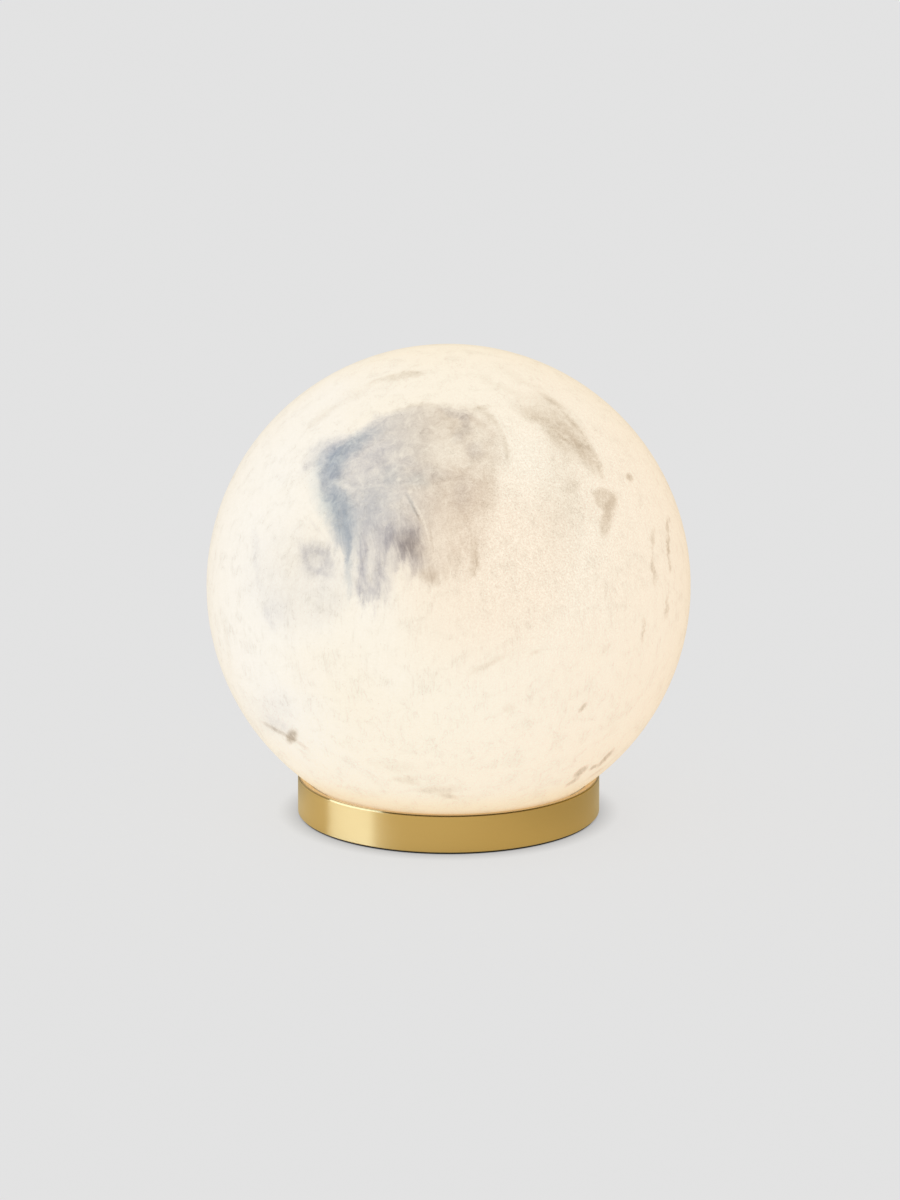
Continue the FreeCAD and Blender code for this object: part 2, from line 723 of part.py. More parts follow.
def cell_links():
    """Nickel strips: one across each end of the pair, and one that leads back along the valley."""
    end = CELL_L / 2
    centre_y = CELL_GAP / 2 + CELL_R
    reach = centre_y + LINK_W / 2
    z = valley_z()
    low, high = CELL_Z - LINK_W / 2, CELL_Z + LINK_W / 2
    plus = block(end, end + LINK_T, -reach, reach, low, high)
    minus = block(-end - LINK_T, -end, -reach, reach, low, high)
    tongue = block(-end - LINK_T, -end, -LINK_RETURN_W / 2, LINK_RETURN_W / 2, low, z + LINK_T)
    back = block(-end, end + GUARD_BOARD_GAP + LINK_T, -LINK_RETURN_W / 2, LINK_RETURN_W / 2, z, z + LINK_T)
    return all_of([plus, minus.fuse(tongue).removeSplitter(), back])


def guard_board_x():
    """The inner face of the protection board."""
    return CELL_L / 2 + LINK_T + GUARD_BOARD_GAP


def guard_board_z():
    """The lower edge of the protection board, just above the tray's end wall."""
    return INSULATOR_TOP + TRAY_FLOOR + TRAY_SADDLE_H + TRAY_CELL_GAP


def protection_board():
    """The small upright board on the positive end, with its two chips."""
    x = guard_board_x()
    z = guard_board_z()
    board = block(x, x + GUARD_BOARD_T, -GUARD_BOARD_W / 2, GUARD_BOARD_W / 2, z, z + GUARD_BOARD_H)
    for side in (-1, 1):
        y = side * GUARD_CHIP_PITCH / 2
        front = x + GUARD_BOARD_T
        low = z + GUARD_CHIP_RISE
        half = GUARD_CHIP_W / 2
        board = board.fuse(block(front, front + GUARD_CHIP_T, y - half, y + half, low, low + GUARD_CHIP_H))
    return board


# Main board and what stands on it


def board_outline(z0, z1):
    """The circuit board's shape: a segment of a disc behind the cells."""
    outline = block(-BOARD_W / 2, BOARD_W / 2, BOARD_FRONT_Y, BOARD_R, z0, z1)
    return outline.common(disc(BOARD_R, z0, z1))


def main_board():
    """The circuit board with its two screw holes and an isolating slot."""
    board = board_outline(BOARD_Z, BOARD_TOP)
    low, high = BOARD_Z - OVERRUN, BOARD_TOP + OVERRUN
    holes = [pilot(BOARD_SCREW_R, x, POST_Y, low, high) for x in (-POST_X, POST_X)]
    slot_x = INDUCTOR_X - INDUCTOR_W
    slot_y = INDUCTOR_Y - INDUCTOR_W / 2
    slot = block(slot_x, slot_x + BOARD_SLOT_W, slot_y, slot_y + INDUCTOR_W, low, high)
    return cut_all(board, holes + [slot])


def board_screws():
    """Two small pan head screws that hold the board up against its posts."""
    screws = []
    for x in (-POST_X, POST_X):
        head = disc(BOARD_SCREW_HEAD_R, BOARD_Z - BOARD_SCREW_HEAD_H, BOARD_Z, x, POST_Y)
        shank = disc(BOARD_SCREW_R, BOARD_Z, BOARD_Z + BOARD_SCREW_L, x, POST_Y)
        screws.append(head.fuse(shank).removeSplitter())
    return all_of(screws)


def power_inductor():
    """The choke of the charging circuit: a rounded block."""
    half = INDUCTOR_W / 2
    x, y = INDUCTOR_X, INDUCTOR_Y
    body = block(x - half, x + half, y - half, y + half, BOARD_TOP, BOARD_TOP + INDUCTOR_H)
    uprights = [e for e in body.Edges if e.BoundBox.ZLength > INDUCTOR_H / 2]
    return body.makeFillet(INDUCTOR_FILLET, uprights)


def capacitors():
    """Small cans in a staggered row, each with a groove near its foot."""
    cans = []
    for k in range(CAPACITOR_COUNT):
        x = CAPACITOR_X + k * CAPACITOR_PITCH
        y = CAPACITOR_Y + (k % 2) * CAPACITOR_STAGGER
        can = disc(CAPACITOR_R, BOARD_TOP, BOARD_TOP + CAPACITOR_H, x, y)
        low = BOARD_TOP + CAPACITOR_GROOVE_RISE
        high = low + 2 * CAPACITOR_GROOVE
        groove = tube(CAPACITOR_R + OVERRUN, CAPACITOR_R - CAPACITOR_GROOVE, low, high, x, y)
        cans.append(can.cut(groove))
    return all_of(cans)


def chip(x, y, width):
    """One square chip on the main board."""
    half = width / 2
    return block(x - half, x + half, y - half, y + half, BOARD_TOP, BOARD_TOP + CHIP_T)


def controller_chips():
    """The charging, boost and dimming chips, kept behind the inductor."""
    row_y = INDUCTOR_Y + INDUCTOR_W / 2 + CHIP_ROW_GAP + CHIP_LARGE_W / 2
    widths = [CHIP_SMALL_W, CHIP_LARGE_W, CHIP_SMALL_W, CHIP_LARGE_W]
    return all_of([chip(INDUCTOR_X + (k - 1) * CHIP_PITCH, row_y, width) for k, width in enumerate(widths)])


def socket_at(x):
    """A small two-pole socket, open at the top."""
    body = block(
        x - SOCKET_W / 2, x + SOCKET_W / 2, SOCKET_Y - SOCKET_D / 2, SOCKET_Y + SOCKET_D / 2,
        BOARD_TOP, BOARD_TOP + SOCKET_H)
    half_w = SOCKET_W / 2 - SOCKET_WALL
    half_d = SOCKET_D / 2 - SOCKET_WALL
    return body.cut(block(
        x - half_w, x + half_w, SOCKET_Y - half_d, SOCKET_Y + half_d,
        BOARD_TOP + SOCKET_FLOOR, BOARD_TOP + SOCKET_H + OVERRUN))


def plug_at(x):
    """The plug that sits in a socket."""
    half_w = SOCKET_W / 2 - SOCKET_WALL - PLUG_GAP
    half_d = SOCKET_D / 2 - SOCKET_WALL - PLUG_GAP
    z = BOARD_TOP + SOCKET_FLOOR
    return block(x - half_w, x + half_w, SOCKET_Y - half_d, SOCKET_Y + half_d, z, z + PLUG_H)


def plug_top():
    """The height at which wires leave a plug."""
    return BOARD_TOP + SOCKET_FLOOR + PLUG_H


# Wires


def battery_lead(step):
    """A wire from the protection board round the rear cell's end to the battery plug."""
    x = guard_board_x() + GUARD_BOARD_T + WIRE_R + WIRE_GAP
    z = DECK_Z - BATTERY_WIRE_SINK - step * BATTERY_WIRE_STEP
    y = (step + 0.5) * WIRE_PITCH
    corner_r = NECK_IN_R - 2 * WIRE_R
    corner_x = math.sqrt(corner_r ** 2 - BATTERY_WIRE_CORNER_Y ** 2)
    plug_x = SOCKET_X + (step - 0.5) * WIRE_PITCH
    return wire_along([
        Vec(x, y, guard_board_z() + GUARD_PAD_RISE),
        Vec(x, y, z),
        Vec(corner_x, BATTERY_WIRE_CORNER_Y, z),
        Vec(plug_x + BATTERY_WIRE_SWING, SOCKET_Y, z - WIRE_PITCH),
        Vec(plug_x, SOCKET_Y, plug_top() + WIRE_STRAIGHT),
        Vec(plug_x, SOCKET_Y, plug_top()),
    ], WIRE_R)


def led_lead(step):
    """A wire from the light engine's plug up through the deck to the LED board."""
    offset = (step - 0.5) * WIRE_PITCH
    x = LEAD_HOLE_X + offset
    top = LED_BOARD_TOP + LEAD_RISE
    plug_x = -SOCKET_X + offset
    middle_z = (plug_top() + DECK_Z) / 2
    return wire_along([
        Vec(plug_x, SOCKET_Y, plug_top()),
        Vec(plug_x, SOCKET_Y, middle_z),
        Vec(x, LEAD_HOLE_Y, middle_z + WIRE_STRAIGHT),
        Vec(x, LEAD_HOLE_Y, top),
        Vec(x, LEAD_HOLE_Y - LEAD_INSET, top),
        Vec(x, LEAD_HOLE_Y - LEAD_INSET - LEAD_LANDING, LED_BOARD_TOP + WIRE_R),
    ], WIRE_R)


# Charging inlet


def usb_c_shell():
    """The inlet's steel shell."""
    mouth = RING_R - USB_MOUTH_INSET
    outer = stadium(USB_W, USB_H, mouth - USB_L, mouth, 0, PORT_Z)
    inner = stadium(USB_W - 2 * USB_WALL, USB_H - 2 * USB_WALL, mouth - USB_L, mouth + OVERRUN, 0, PORT_Z)
    return outer.cut(inner)


def usb_c_tongue():
    """The inlet's moulded tongue and the block that carries it."""
    mouth = RING_R - USB_MOUTH_INSET
    width = USB_W - 2 * USB_WALL - 2 * THREAD_GAP
    height = USB_H - 2 * USB_WALL - 2 * THREAD_GAP
    carrier = stadium(width, height, mouth - USB_L, mouth - USB_L + TONGUE_BLOCK_L, 0, PORT_Z)
    tongue = block(
        -TONGUE_W / 2, TONGUE_W / 2, mouth - USB_L, mouth - TONGUE_SETBACK,
        PORT_Z - TONGUE_T / 2, PORT_Z + TONGUE_T / 2)
    return carrier.fuse(tongue)


def port_bezel():
    """The moulded frame round the inlet, set back in the ring's slot."""
    front = RING_R - BEZEL_INSET
    frame = stadium(PORT_W - 2 * BEZEL_GAP, PORT_H - 2 * BEZEL_GAP, RING_IN_R, front, 0, PORT_Z)
    width = USB_W + 2 * BEZEL_SHELL_GAP
    height = USB_H + 2 * BEZEL_SHELL_GAP
    hole = stadium(width, height, RING_IN_R - OVERRUN, front + OVERRUN, 0, PORT_Z)
    return frame.cut(hole)


def charge_led():
    """The charging light's source on the board's edge."""
    y = BOARD_R - LIGHT_LED_GAP - LIGHT_BLOCK_L / 2
    half_l = LIGHT_LED_L / 2
    half_w = LIGHT_LED_W / 2
    led = block(-half_l, half_l, y - half_w, y + half_w, BOARD_TOP, BOARD_TOP + LIGHT_LED_H)
    return at_back(led, LIGHT_DEG)


def charge_light_pipe():
    """The clear pipe that takes the light out through the ring."""
    back = BOARD_R - LIGHT_LED_GAP - LIGHT_BLOCK_L
    low = BOARD_TOP + LIGHT_LED_H + THREAD_GAP
    pipe = block(-LIGHT_BLOCK_W / 2, LIGHT_BLOCK_W / 2, back, back + LIGHT_BLOCK_L, low, PORT_Z + LIGHT_R)
    rod = Part.makeCylinder(LIGHT_R, RING_R - LIGHT_FRONT_INSET - back, Vec(0, back, PORT_Z), BACK)
    return at_back(pipe.fuse(rod), LIGHT_DEG)


# Push button


def button_bar_front():
    """The front face of the bar that keeps the button in the ring."""
    half = BUTTON_BAR_W / 2
    return math.sqrt(RING_IN_R ** 2 - half ** 2) - BUTTON_BAR_GAP


def power_button():
    """The brass button: a crowned round head, a flat stem and a retaining bar behind the wall."""
    front = RING_R + BUTTON_PROUD
    head_back = RING_IN_R + BUTTON_TRAVEL + BUTTON_RUNNING_GAP
    crown_start = front - BUTTON_CROWN
    head = Part.makeCylinder(BUTTON_R, crown_start - head_back, Vec(0, head_back, PORT_Z), BACK)
    crown = Part.makeCone(BUTTON_R, BUTTON_R - BUTTON_CROWN, BUTTON_CROWN, Vec(0, crown_start, PORT_Z), BACK)
    bar_front = button_bar_front()
    bar_back = bar_front - BUTTON_BAR_T
    z0, z1 = PORT_Z - BUTTON_BAR_H / 2, PORT_Z + BUTTON_BAR_H / 2
    stem = block(-BUTTON_STEM_W / 2, BUTTON_STEM_W / 2, bar_back, head_back, z0, z1)
    bar = block(-BUTTON_BAR_W / 2, BUTTON_BAR_W / 2, bar_back, bar_front, z0, z1)
    return at_back(head.fuse(crown).fuse(stem).fuse(bar).removeSplitter(), BUTTON_DEG)


def switch_face():
    """The front face of the switch, which the plunger stands out of."""
    return button_bar_front() - BUTTON_BAR_T - PLUNGER_L


def switch_plunger():
    """The switch's plunger, which moves with the button."""
    start = switch_face() - PLUNGER_GUIDE_L
    rod = Part.makeCylinder(PLUNGER_R, PLUNGER_L + PLUNGER_GUIDE_L, Vec(0, start, PORT_Z), BACK)
    return at_back(rod, BUTTON_DEG)


def switch_body():
    """The side-push switch on the board's edge."""
    face = switch_face()
    top = 2 * PORT_Z - BOARD_TOP
    body = block(-SWITCH_W / 2, SWITCH_W / 2, face - SWITCH_DEPTH, face, BOARD_TOP, top)
    depth = PLUNGER_GUIDE_L + BUTTON_TRAVEL + BUTTON_BAR_GAP
    radius = PLUNGER_R + BUTTON_RUNNING_GAP
    guide = Part.makeCylinder(radius, depth + OVERRUN, Vec(0, face - depth, PORT_Z), BACK)
    return at_back(body.cut(guide), BUTTON_DEG)


# Light engine


def engine_holes(z0, z1):
    """The screw holes shared by the spreader and the LED board."""
    return [pilot(LED_SCREW_R, x, y, z0 - OVERRUN, z1 + OVERRUN) for x, y in led_screw_places()]


def heat_spreader():
    """The aluminium disc under the LED board, which also clamps the clips' tabs."""
    plate = disc(SPREADER_R, DECK_TOP, SPREADER_TOP)
    lead_hole = disc(LEAD_HOLE_R, DECK_TOP - OVERRUN, SPREADER_TOP + OVERRUN, LEAD_HOLE_X, LEAD_HOLE_Y)
    return cut_all(plate, engine_holes(DECK_TOP, SPREADER_TOP) + [lead_hole])


def led_board():
    """The round white LED board."""
    return cut_all(disc(LED_BOARD_R, SPREADER_TOP, LED_BOARD_TOP), engine_holes(SPREADER_TOP, LED_BOARD_TOP))


def led_chips():
    """Two rings of LEDs, each turned to face along its radius."""
    chips = []
    half_l, half_w = LED_L / 2, LED_W / 2
    for radius, count in ((LED_RING_R, LED_RING_COUNT), (LED_INNER_R, LED_INNER_COUNT)):
        led = block(radius - half_l, radius + half_l, -half_w, half_w, LED_BOARD_TOP, LED_BOARD_TOP + LED_H)
        chips += around(led, count, 180 / count)
    return all_of(chips)


def led_board_screws():
    """Three cap screws through the LED board and the spreader into the deck."""
    screws = []
    for x, y in led_screw_places():
        head = disc(LED_SCREW_HEAD_R, LED_BOARD_TOP, LED_BOARD_TOP + LED_SCREW_HEAD_H, x, y)
        shank = disc(LED_SCREW_R, LED_BOARD_TOP - LED_SCREW_L, LED_BOARD_TOP, x, y)
        top = LED_BOARD_TOP + LED_SCREW_HEAD_H
        socket = hexagon(LED_SCREW_HEX_AF, top - LED_SCREW_HEX_DEPTH, top + OVERRUN, x, y)
        screws.append(head.fuse(shank).cut(socket))
    return all_of(screws)


def dome_arc(radius, skirt_z, top_z, thickness):
    """Three points of the dome's arc, moved inwards by a thickness."""
    rise = top_z - skirt_z
    arc_r = (radius ** 2 + rise ** 2) / (2 * rise)
    centre = top_z - arc_r
    arc_r -= thickness
    edge = radius - thickness
    middle = edge / 2
    return [
        (edge, centre + math.sqrt(arc_r ** 2 - edge ** 2)),
        (middle, centre + math.sqrt(arc_r ** 2 - middle ** 2)),
        (0, centre + arc_r),
    ]


def diffuser_dome():
    """The opal dome over the LEDs, standing on the deck inside the neck's rim."""
    skirt_z = DECK_TOP + DOME_SKIRT_H
    outer = dome_arc(DOME_R, skirt_z, DOME_TOP, 0)
    inner = dome_arc(DOME_R, skirt_z, DOME_TOP, DOME_WALL)
    return turned([
        line((DOME_IN_R, DECK_TOP), (DOME_R, DECK_TOP)),
        line((DOME_R, DECK_TOP), outer[0]),
        arc(*outer),
        line(outer[2], inner[2]),
        arc(*inner[::-1]),
        line(inner[0], (DOME_IN_R, DECK_TOP)),
    ])


def build():
    """Every node of the lamp by name."""
    return {
        "alabaster_globe": alabaster_globe(),
        "globe_collar": globe_collar(),
        "seat_gasket": seat_gasket(),
        "globe_clips": globe_clips(),
        "brass_ring": brass_ring(),
        "base_plate": base_plate(),
        "foot_pad": foot_pad(),
        "base_screws": base_screws(),
        "base_insulator": base_insulator(),
        "chassis": chassis(),
        "battery_tray": battery_tray(),
        "battery_cell_front": battery_cell(-1),
        "battery_cell_rear": battery_cell(1),
        "cell_links": cell_links(),
        "battery_pad": battery_pad(),
        "protection_board": protection_board(),
        "battery_lead_red": battery_lead(0),
        "battery_lead_black": battery_lead(1),
        "led_lead_red": led_lead(0),
        "led_lead_black": led_lead(1),
        "wire_sockets": all_of([socket_at(x) for x in (-SOCKET_X, SOCKET_X)]),
        "wire_plugs": all_of([plug_at(x) for x in (-SOCKET_X, SOCKET_X)]),
        "main_board": main_board(),
        "board_screws": board_screws(),
        "power_inductor": power_inductor(),
        "capacitors": capacitors(),
        "controller_chips": controller_chips(),
        "usb_c_shell": usb_c_shell(),
        "usb_c_tongue": usb_c_tongue(),
        "port_bezel": port_bezel(),
        "charge_led": charge_led(),
        "charge_light_pipe": charge_light_pipe(),
        "power_button": power_button(),
        "switch_plunger": switch_plunger(),
        "switch_body": switch_body(),
        "heat_spreader": heat_spreader(),
        "led_board": led_board(),
        "led_chips": led_chips(),
        "led_board_screws": led_board_screws(),
        "diffuser_dome": diffuser_dome(),
    }


os.makedirs("parts", exist_ok=True)
for name, shape in build().items():
    shape.exportStep("parts/" + name + ".step")
    print(name, len(shape.Solids), "solids", round(shape.Volume, 1), "mm3", shape.isValid())
print("ring radius", round(RING_R, 3), "ring top", round(RING_TOP, 3), "globe centre", round(GLOBE_Z, 3))
print("dome top", round(DOME_TOP, 3), "collar top", round(COLLAR_TOP, 3), "port height", round(PORT_Z, 3))
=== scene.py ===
"""Looks of the rechargeable table lamp: a glowing alabaster globe on a low polished brass ring.

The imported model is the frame. Each sub-assembly is a class that dresses its own nodes and adds the detail that
the solids leave out. Lengths are metres unless a name ends in _mm, and the front of the lamp faces -Y.
"""
import logging
import math
from dataclasses import dataclass
from enum import Enum
from functools import partial
from typing import Any, Callable, ClassVar, Iterable, Optional

import bpy
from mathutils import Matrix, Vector


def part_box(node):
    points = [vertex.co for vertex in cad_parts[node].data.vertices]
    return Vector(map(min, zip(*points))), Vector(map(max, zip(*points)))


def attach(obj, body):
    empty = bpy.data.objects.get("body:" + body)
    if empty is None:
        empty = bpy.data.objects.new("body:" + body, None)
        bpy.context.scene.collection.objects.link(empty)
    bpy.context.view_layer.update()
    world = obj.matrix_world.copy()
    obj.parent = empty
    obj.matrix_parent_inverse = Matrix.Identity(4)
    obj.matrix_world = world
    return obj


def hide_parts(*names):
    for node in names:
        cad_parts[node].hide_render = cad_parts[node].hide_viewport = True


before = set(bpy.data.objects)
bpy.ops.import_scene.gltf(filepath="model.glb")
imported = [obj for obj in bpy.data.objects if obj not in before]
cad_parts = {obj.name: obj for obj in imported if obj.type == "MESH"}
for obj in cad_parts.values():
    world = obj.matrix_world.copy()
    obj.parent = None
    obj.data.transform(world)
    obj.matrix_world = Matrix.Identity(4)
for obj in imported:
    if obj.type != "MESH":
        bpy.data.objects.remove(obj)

LOG = logging.getLogger("lamp")
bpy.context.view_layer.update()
MM = 0.001
PER_MM = 1000.0
MEASURES = ("DOT_PRODUCT", "LENGTH", "DISTANCE")
BLACK = (0.0, 0.0, 0.0)

# A noise's middle value.
MIDDLE = 0.5

# Shared effects: the noises' detail, roughness and twist, how much of the change is fine, how lines and smears
# stretch round the axis, where rubs and specks begin and end, and what scuffs do to a colour and a gloss.
PATCH_NOISE = (4.0, 0.6)
SKIN_NOISE = (2.0, 0.6)
LINE_NOISE = (2.0, 0.7)
SMEAR_NOISE = (3.0, 0.6)
RUB_NOISE = (3.0, 0.65, 0.6)
FINE_SHARE = 0.6
LINE_STRETCH = 0.6
SMEAR_STRETCH = 3.0
SMEAR_HEIGHT = 0.12
RUB_STRETCH = (0.25, 1.0, 1.0)
RUB_RANGE = (0.62, 0.78)
SPECK_RANGE = (0.12, 0.04)
SCUFF_SIZE = 0.9
SCUFF_SHOWS = 0.35
SCUFF_DULLS = 0.12
SCUFF_PALER = 1.25
SCUFF_DUST = 0.03
QUARTER_TURN = 0.25

Socket = bpy.types.NodeSocket
Colour = tuple[float, float, float]


# Node building


class Graph:
    """Short calls for the nodes of one tree."""

    def __init__(self, tree: bpy.types.NodeTree) -> None:
        """Keeps the tree, of a material, a world or a group, that the calls add to."""
        self.tree = tree

    def feed(self, socket: Socket, value: Any) -> None:
        """Links a socket into an input, or sets the input's number or colour.

        Args:
            socket: the input.
            value: another node's output, a number, a vector or a colour.
        """
        if isinstance(value, bpy.types.NodeSocket):
            self.tree.links.new(value, socket)
        elif socket.type == "RGBA" and len(value) == 3:
            socket.default_value = (*value, 1.0)
        else:
            socket.default_value = value

    def add(self, kind: str, inputs: Optional[dict[Any, Any]] = None, **settings: Any) -> bpy.types.Node:
        """Adds a shader node.

        Args:
            kind: the node's type, without the word ShaderNode.
            inputs: what goes into its inputs, by name or place.
            **settings: the node's own settings.

        Returns:
            The node.
        """
        node = self.tree.nodes.new("ShaderNode" + kind)
        for name, value in settings.items():
            setattr(node, name, value)
        for name, value in (inputs or {}).items():
            self.feed(node.inputs[name], value)
        return node

    def math(self, operation: str, *values: Any, clamp: bool = False) -> Socket:
        """Adds a Math node with one, two or three inputs, and holds its result within 0 and 1 if clamp is set."""
        return self.add("Math", dict(enumerate(values)), operation=operation, use_clamp=clamp).outputs[0]

    def times(self, first: Any, second: Any, added: Any = None, clamp: bool = False) -> Socket:
        """Multiplies two numbers.

        Args:
            first: the first.
            second: the second.
            added: what is added to the result, if anything.
            clamp: whether the result stays within 0 and 1.

        Returns:
            The result.
        """
        if added is None:
            return self.math("MULTIPLY", first, second, clamp=clamp)
        return self.math("MULTIPLY_ADD", first, second, added, clamp=clamp)

    def plus(self, first: Any, second: Any) -> Socket:
        """Gives the sum of two numbers."""
        return self.math("ADD", first, second)

    def minus(self, first: Any, second: Any, clamp: bool = False) -> Socket:
        """Gives the first number less the second, within 0 and 1 if clamp is set."""
        return self.math("SUBTRACT", first, second, clamp=clamp)

    def vector(self, operation: str, *values: Any) -> Socket:
        """Gives a Vector Math node's vector, or its number where it measures."""
        node = self.add("VectorMath", dict(enumerate(values)), operation=operation)
        return node.outputs["Value" if operation in MEASURES else "Vector"]

    def summed(self, first: Any, second: Any) -> Socket:
        """Gives the sum of two vectors or colours."""
        return self.vector("ADD", first, second)

    def scaled(self, vector: Any, scale: Any) -> Socket:
        """Gives a vector or a colour times a number."""
        return self.add("VectorMath", {0: vector, "Scale": scale}, operation="SCALE").outputs["Vector"]

    def remap(
        self, value: Any, low: Any, high: Any, to_low: Any = 0.0, to_high: Any = 1.0, smooth: bool = True
    ) -> Socket:
        """Maps a value from one range to another, held at the ends.

        Args:
            value: the value.
            low: where the first range starts.
            high: where it ends.
            to_low: the result at its start.
            to_high: the result at its end.
            smooth: whether the change eases in and out.

        Returns:
            The mapped value.
        """
        kind = "SMOOTHSTEP" if smooth else "LINEAR"
        inputs = {"Value": value, "From Min": low, "From Max": high, "To Min": to_low, "To Max": to_high}
        return self.add("MapRange", inputs, interpolation_type=kind, clamp=True).outputs["Result"]

    def mix(self, factor: Any, first: Any, second: Any, blend: str = "MIX") -> Socket:
        """Mixes two colours.

        Args:
            factor: the share of the second colour.
            first: the first colour.
            second: the second colour.
            blend: how the two meet.

        Returns:
            The colour.
        """
        node = self.add("Mix", data_type="RGBA", blend_type=blend)
        self.feed(node.inputs[0], factor)
        self.feed(node.inputs[6], first)
        self.feed(node.inputs[7], second)
        return node.outputs[2]

    def noise(
        self, place: Socket, scale: Any, detail: float = 3.0, rough: float = 0.5, twist: float = 0.0
    ) -> bpy.types.Node:
        """Adds a noise by its scale, how many finer layers it has, how strong these are and how far it twists."""
        inputs = {"Vector": place, "Scale": scale, "Detail": detail, "Roughness": rough, "Distortion": twist}
        return self.add("TexNoise", inputs, noise_dimensions="3D")

    def grey(self, place: Socket, scale: Any, *shape: float) -> Socket:
        """Gives a noise's value. Its shape is the detail, the roughness and the twist."""
        return self.noise(place, scale, *shape).outputs["Fac"]

    def place_mm(self) -> Socket:
        """Gives the point on the piece in millimetres, in the lamp's own frame."""
        return self.scaled(self.add("TexCoord").outputs["Object"], PER_MM)

    def split(self, vector: Socket) -> tuple[Socket, Socket, Socket]:
        """Gives a vector's three numbers."""
        parts = self.add("SeparateXYZ", {0: vector}).outputs
        return parts[0], parts[1], parts[2]

    def join(self, x: Any, y: Any, z: Any) -> Socket:
        """Gives the vector of three numbers."""
        return self.add("CombineXYZ", {0: x, 1: y, 2: z}).outputs[0]


Port = tuple[str, str, Any]
Fill = Callable[[Graph, Any], dict[str, Socket]]
GROUPS: dict[str, bpy.types.NodeTree] = {}


def make_group(name: str, takes: Iterable[Port], gives: Iterable[Port], fill: Fill) -> None:
    """Builds a shared shader effect once and keeps it under its name.

    Args:
        name: the group's name.
        takes: kind, name and default of each input.
        gives: kind, name and default of each output.
        fill: makes the group's nodes and returns what goes to each output.
    """
    tree = bpy.data.node_groups.new(name, "ShaderNodeTree")
    for direction, ports in (("INPUT", takes), ("OUTPUT", gives)):
        for kind, label, default in ports:
            socket = tree.interface.new_socket(name=label, in_out=direction, socket_type="NodeSocket" + kind)
            if default is not None:
                socket.default_value = default
    graph = Graph(tree)
    ins = tree.nodes.new("NodeGroupInput")
    outs = tree.nodes.new("NodeGroupOutput")
    for label, socket in fill(graph, ins.outputs).items():
        graph.feed(outs.inputs[label], socket)
    GROUPS[name] = tree


def use_group(graph: Graph, name: str, inputs: dict[str, Any]) -> Any:
    """Places a shared effect in a material.

    Args:
        graph: the material's nodes.
        name: the group's name.
        inputs: its values in this material.

    Returns:
        The group's outputs.
    """
    node = graph.add("Group", node_tree=GROUPS[name])
    for label, value in inputs.items():
        graph.feed(node.inputs[label], value)
    return node.outputs


def new_material(name: str) -> tuple[bpy.types.Material, Graph]:
    """Makes a material with nodes.

    Args:
        name: its name.

    Returns:
        The material and its nodes.
    """
    material = bpy.data.materials.new(name)
    material.use_nodes = True
    return material, Graph(material.node_tree)


def fill_mottle(graph: Graph, ins: Any) -> dict[str, Socket]:
    """Slow change of colour and gloss over a surface, with a fine skin.

    Args:
        graph: the group's nodes.
        ins: its inputs.

    Returns:
        Color, Roughness and Height.
    """
    place = graph.place_mm()
    patches = graph.grey(place, ins["Patches"], *PATCH_NOISE)
    skin = graph.grey(place, ins["Grain"], *SKIN_NOISE)
    centred = graph.minus(patches, MIDDLE)
    shade = graph.times(centred, ins["Change"], 1.0)
    fine = graph.times(graph.minus(skin, MIDDLE), graph.times(ins["Change"], FINE_SHARE), shade)
    colour = graph.scaled(ins["Color"], fine)
    gloss = graph.times(centred, ins["Gloss Change"], ins["Roughness"], clamp=True)
    return {"Color": colour, "Roughness": gloss, "Height": skin}


def fill_turned(graph: Graph, ins: Any) -> dict[str, Socket]:
    """Fine lines that run round the lamp's axis, as turning and circular brushing leave them.

    Args:
        graph: the group's nodes.
        ins: its inputs.

    Returns:
        Color, Roughness and Height.
    """
    x, y, z = graph.split(graph.place_mm())
    radius = graph.math("SQRT", graph.plus(graph.times(x, x), graph.times(y, y)))
    turn = graph.math("ARCTAN2", y, x)
    lines_at = graph.join(radius, z, graph.times(turn, LINE_STRETCH))
    lines = graph.grey(lines_at, ins["Lines"], *LINE_NOISE)
    smears_at = graph.join(graph.times(turn, SMEAR_STRETCH), graph.times(z, SMEAR_HEIGHT), radius)
    line = graph.minus(lines, MIDDLE)
    smear = graph.minus(graph.grey(smears_at, 1.0, *SMEAR_NOISE), MIDDLE)
    tone = graph.times(line, ins["Change"], graph.times(smear, ins["Change"], 1.0))
    colour = graph.scaled(ins["Color"], tone)
    gloss = graph.times(graph.plus(line, smear), ins["Gloss Change"], ins["Roughness"], clamp=True)
    return {"Color": colour, "Roughness": gloss, "Height": lines}


def fill_scuffs(graph: Graph, ins: Any) -> dict[str, Socket]:
    """Sparse short rubs and dust specks, from handling.

    Args:
        graph: the group's nodes.
        ins: its inputs.

    Returns:
        Mask, from 0 where clean to 1.
    """
    place = graph.place_mm()
    stretched = graph.vector("MULTIPLY", place, RUB_STRETCH)
    rub = graph.remap(graph.grey(stretched, ins["Size"], *RUB_NOISE), *RUB_RANGE)
    specks = graph.add("TexVoronoi", {"Vector": place, "Scale": ins["Size"]}, feature="F1").outputs["Distance"]
    speck = graph.remap(specks, *SPECK_RANGE)
    return {"Mask": graph.times(graph.math("MAXIMUM", rub, speck), ins["Amount"], clamp=True)}


def build_groups() -> None:
    """Builds the shared effects."""
    shades = [("Color", "Color", (0.5, 0.5, 0.5, 1.0)), ("Float", "Roughness", 0.5)]
    shades += [("Float", "Change", 0.1), ("Float", "Gloss Change", 0.1)]
    results = [("Color", "Color", None), ("Float", "Roughness", None), ("Float", "Height", None)]
    skin = [*shades, ("Float", "Patches", 0.2), ("Float", "Grain", 6.0)]
    make_group("mottled_skin", skin, results, fill_mottle)
    make_group("turned_lines", [*shades, ("Float", "Lines", 9.0)], results, fill_turned)
    rubbing = [("Float", "Size", 0.8), ("Float", "Amount", 1.0)]
    make_group("handling_scuffs", rubbing, [("Float", "Mask", None)], fill_scuffs)


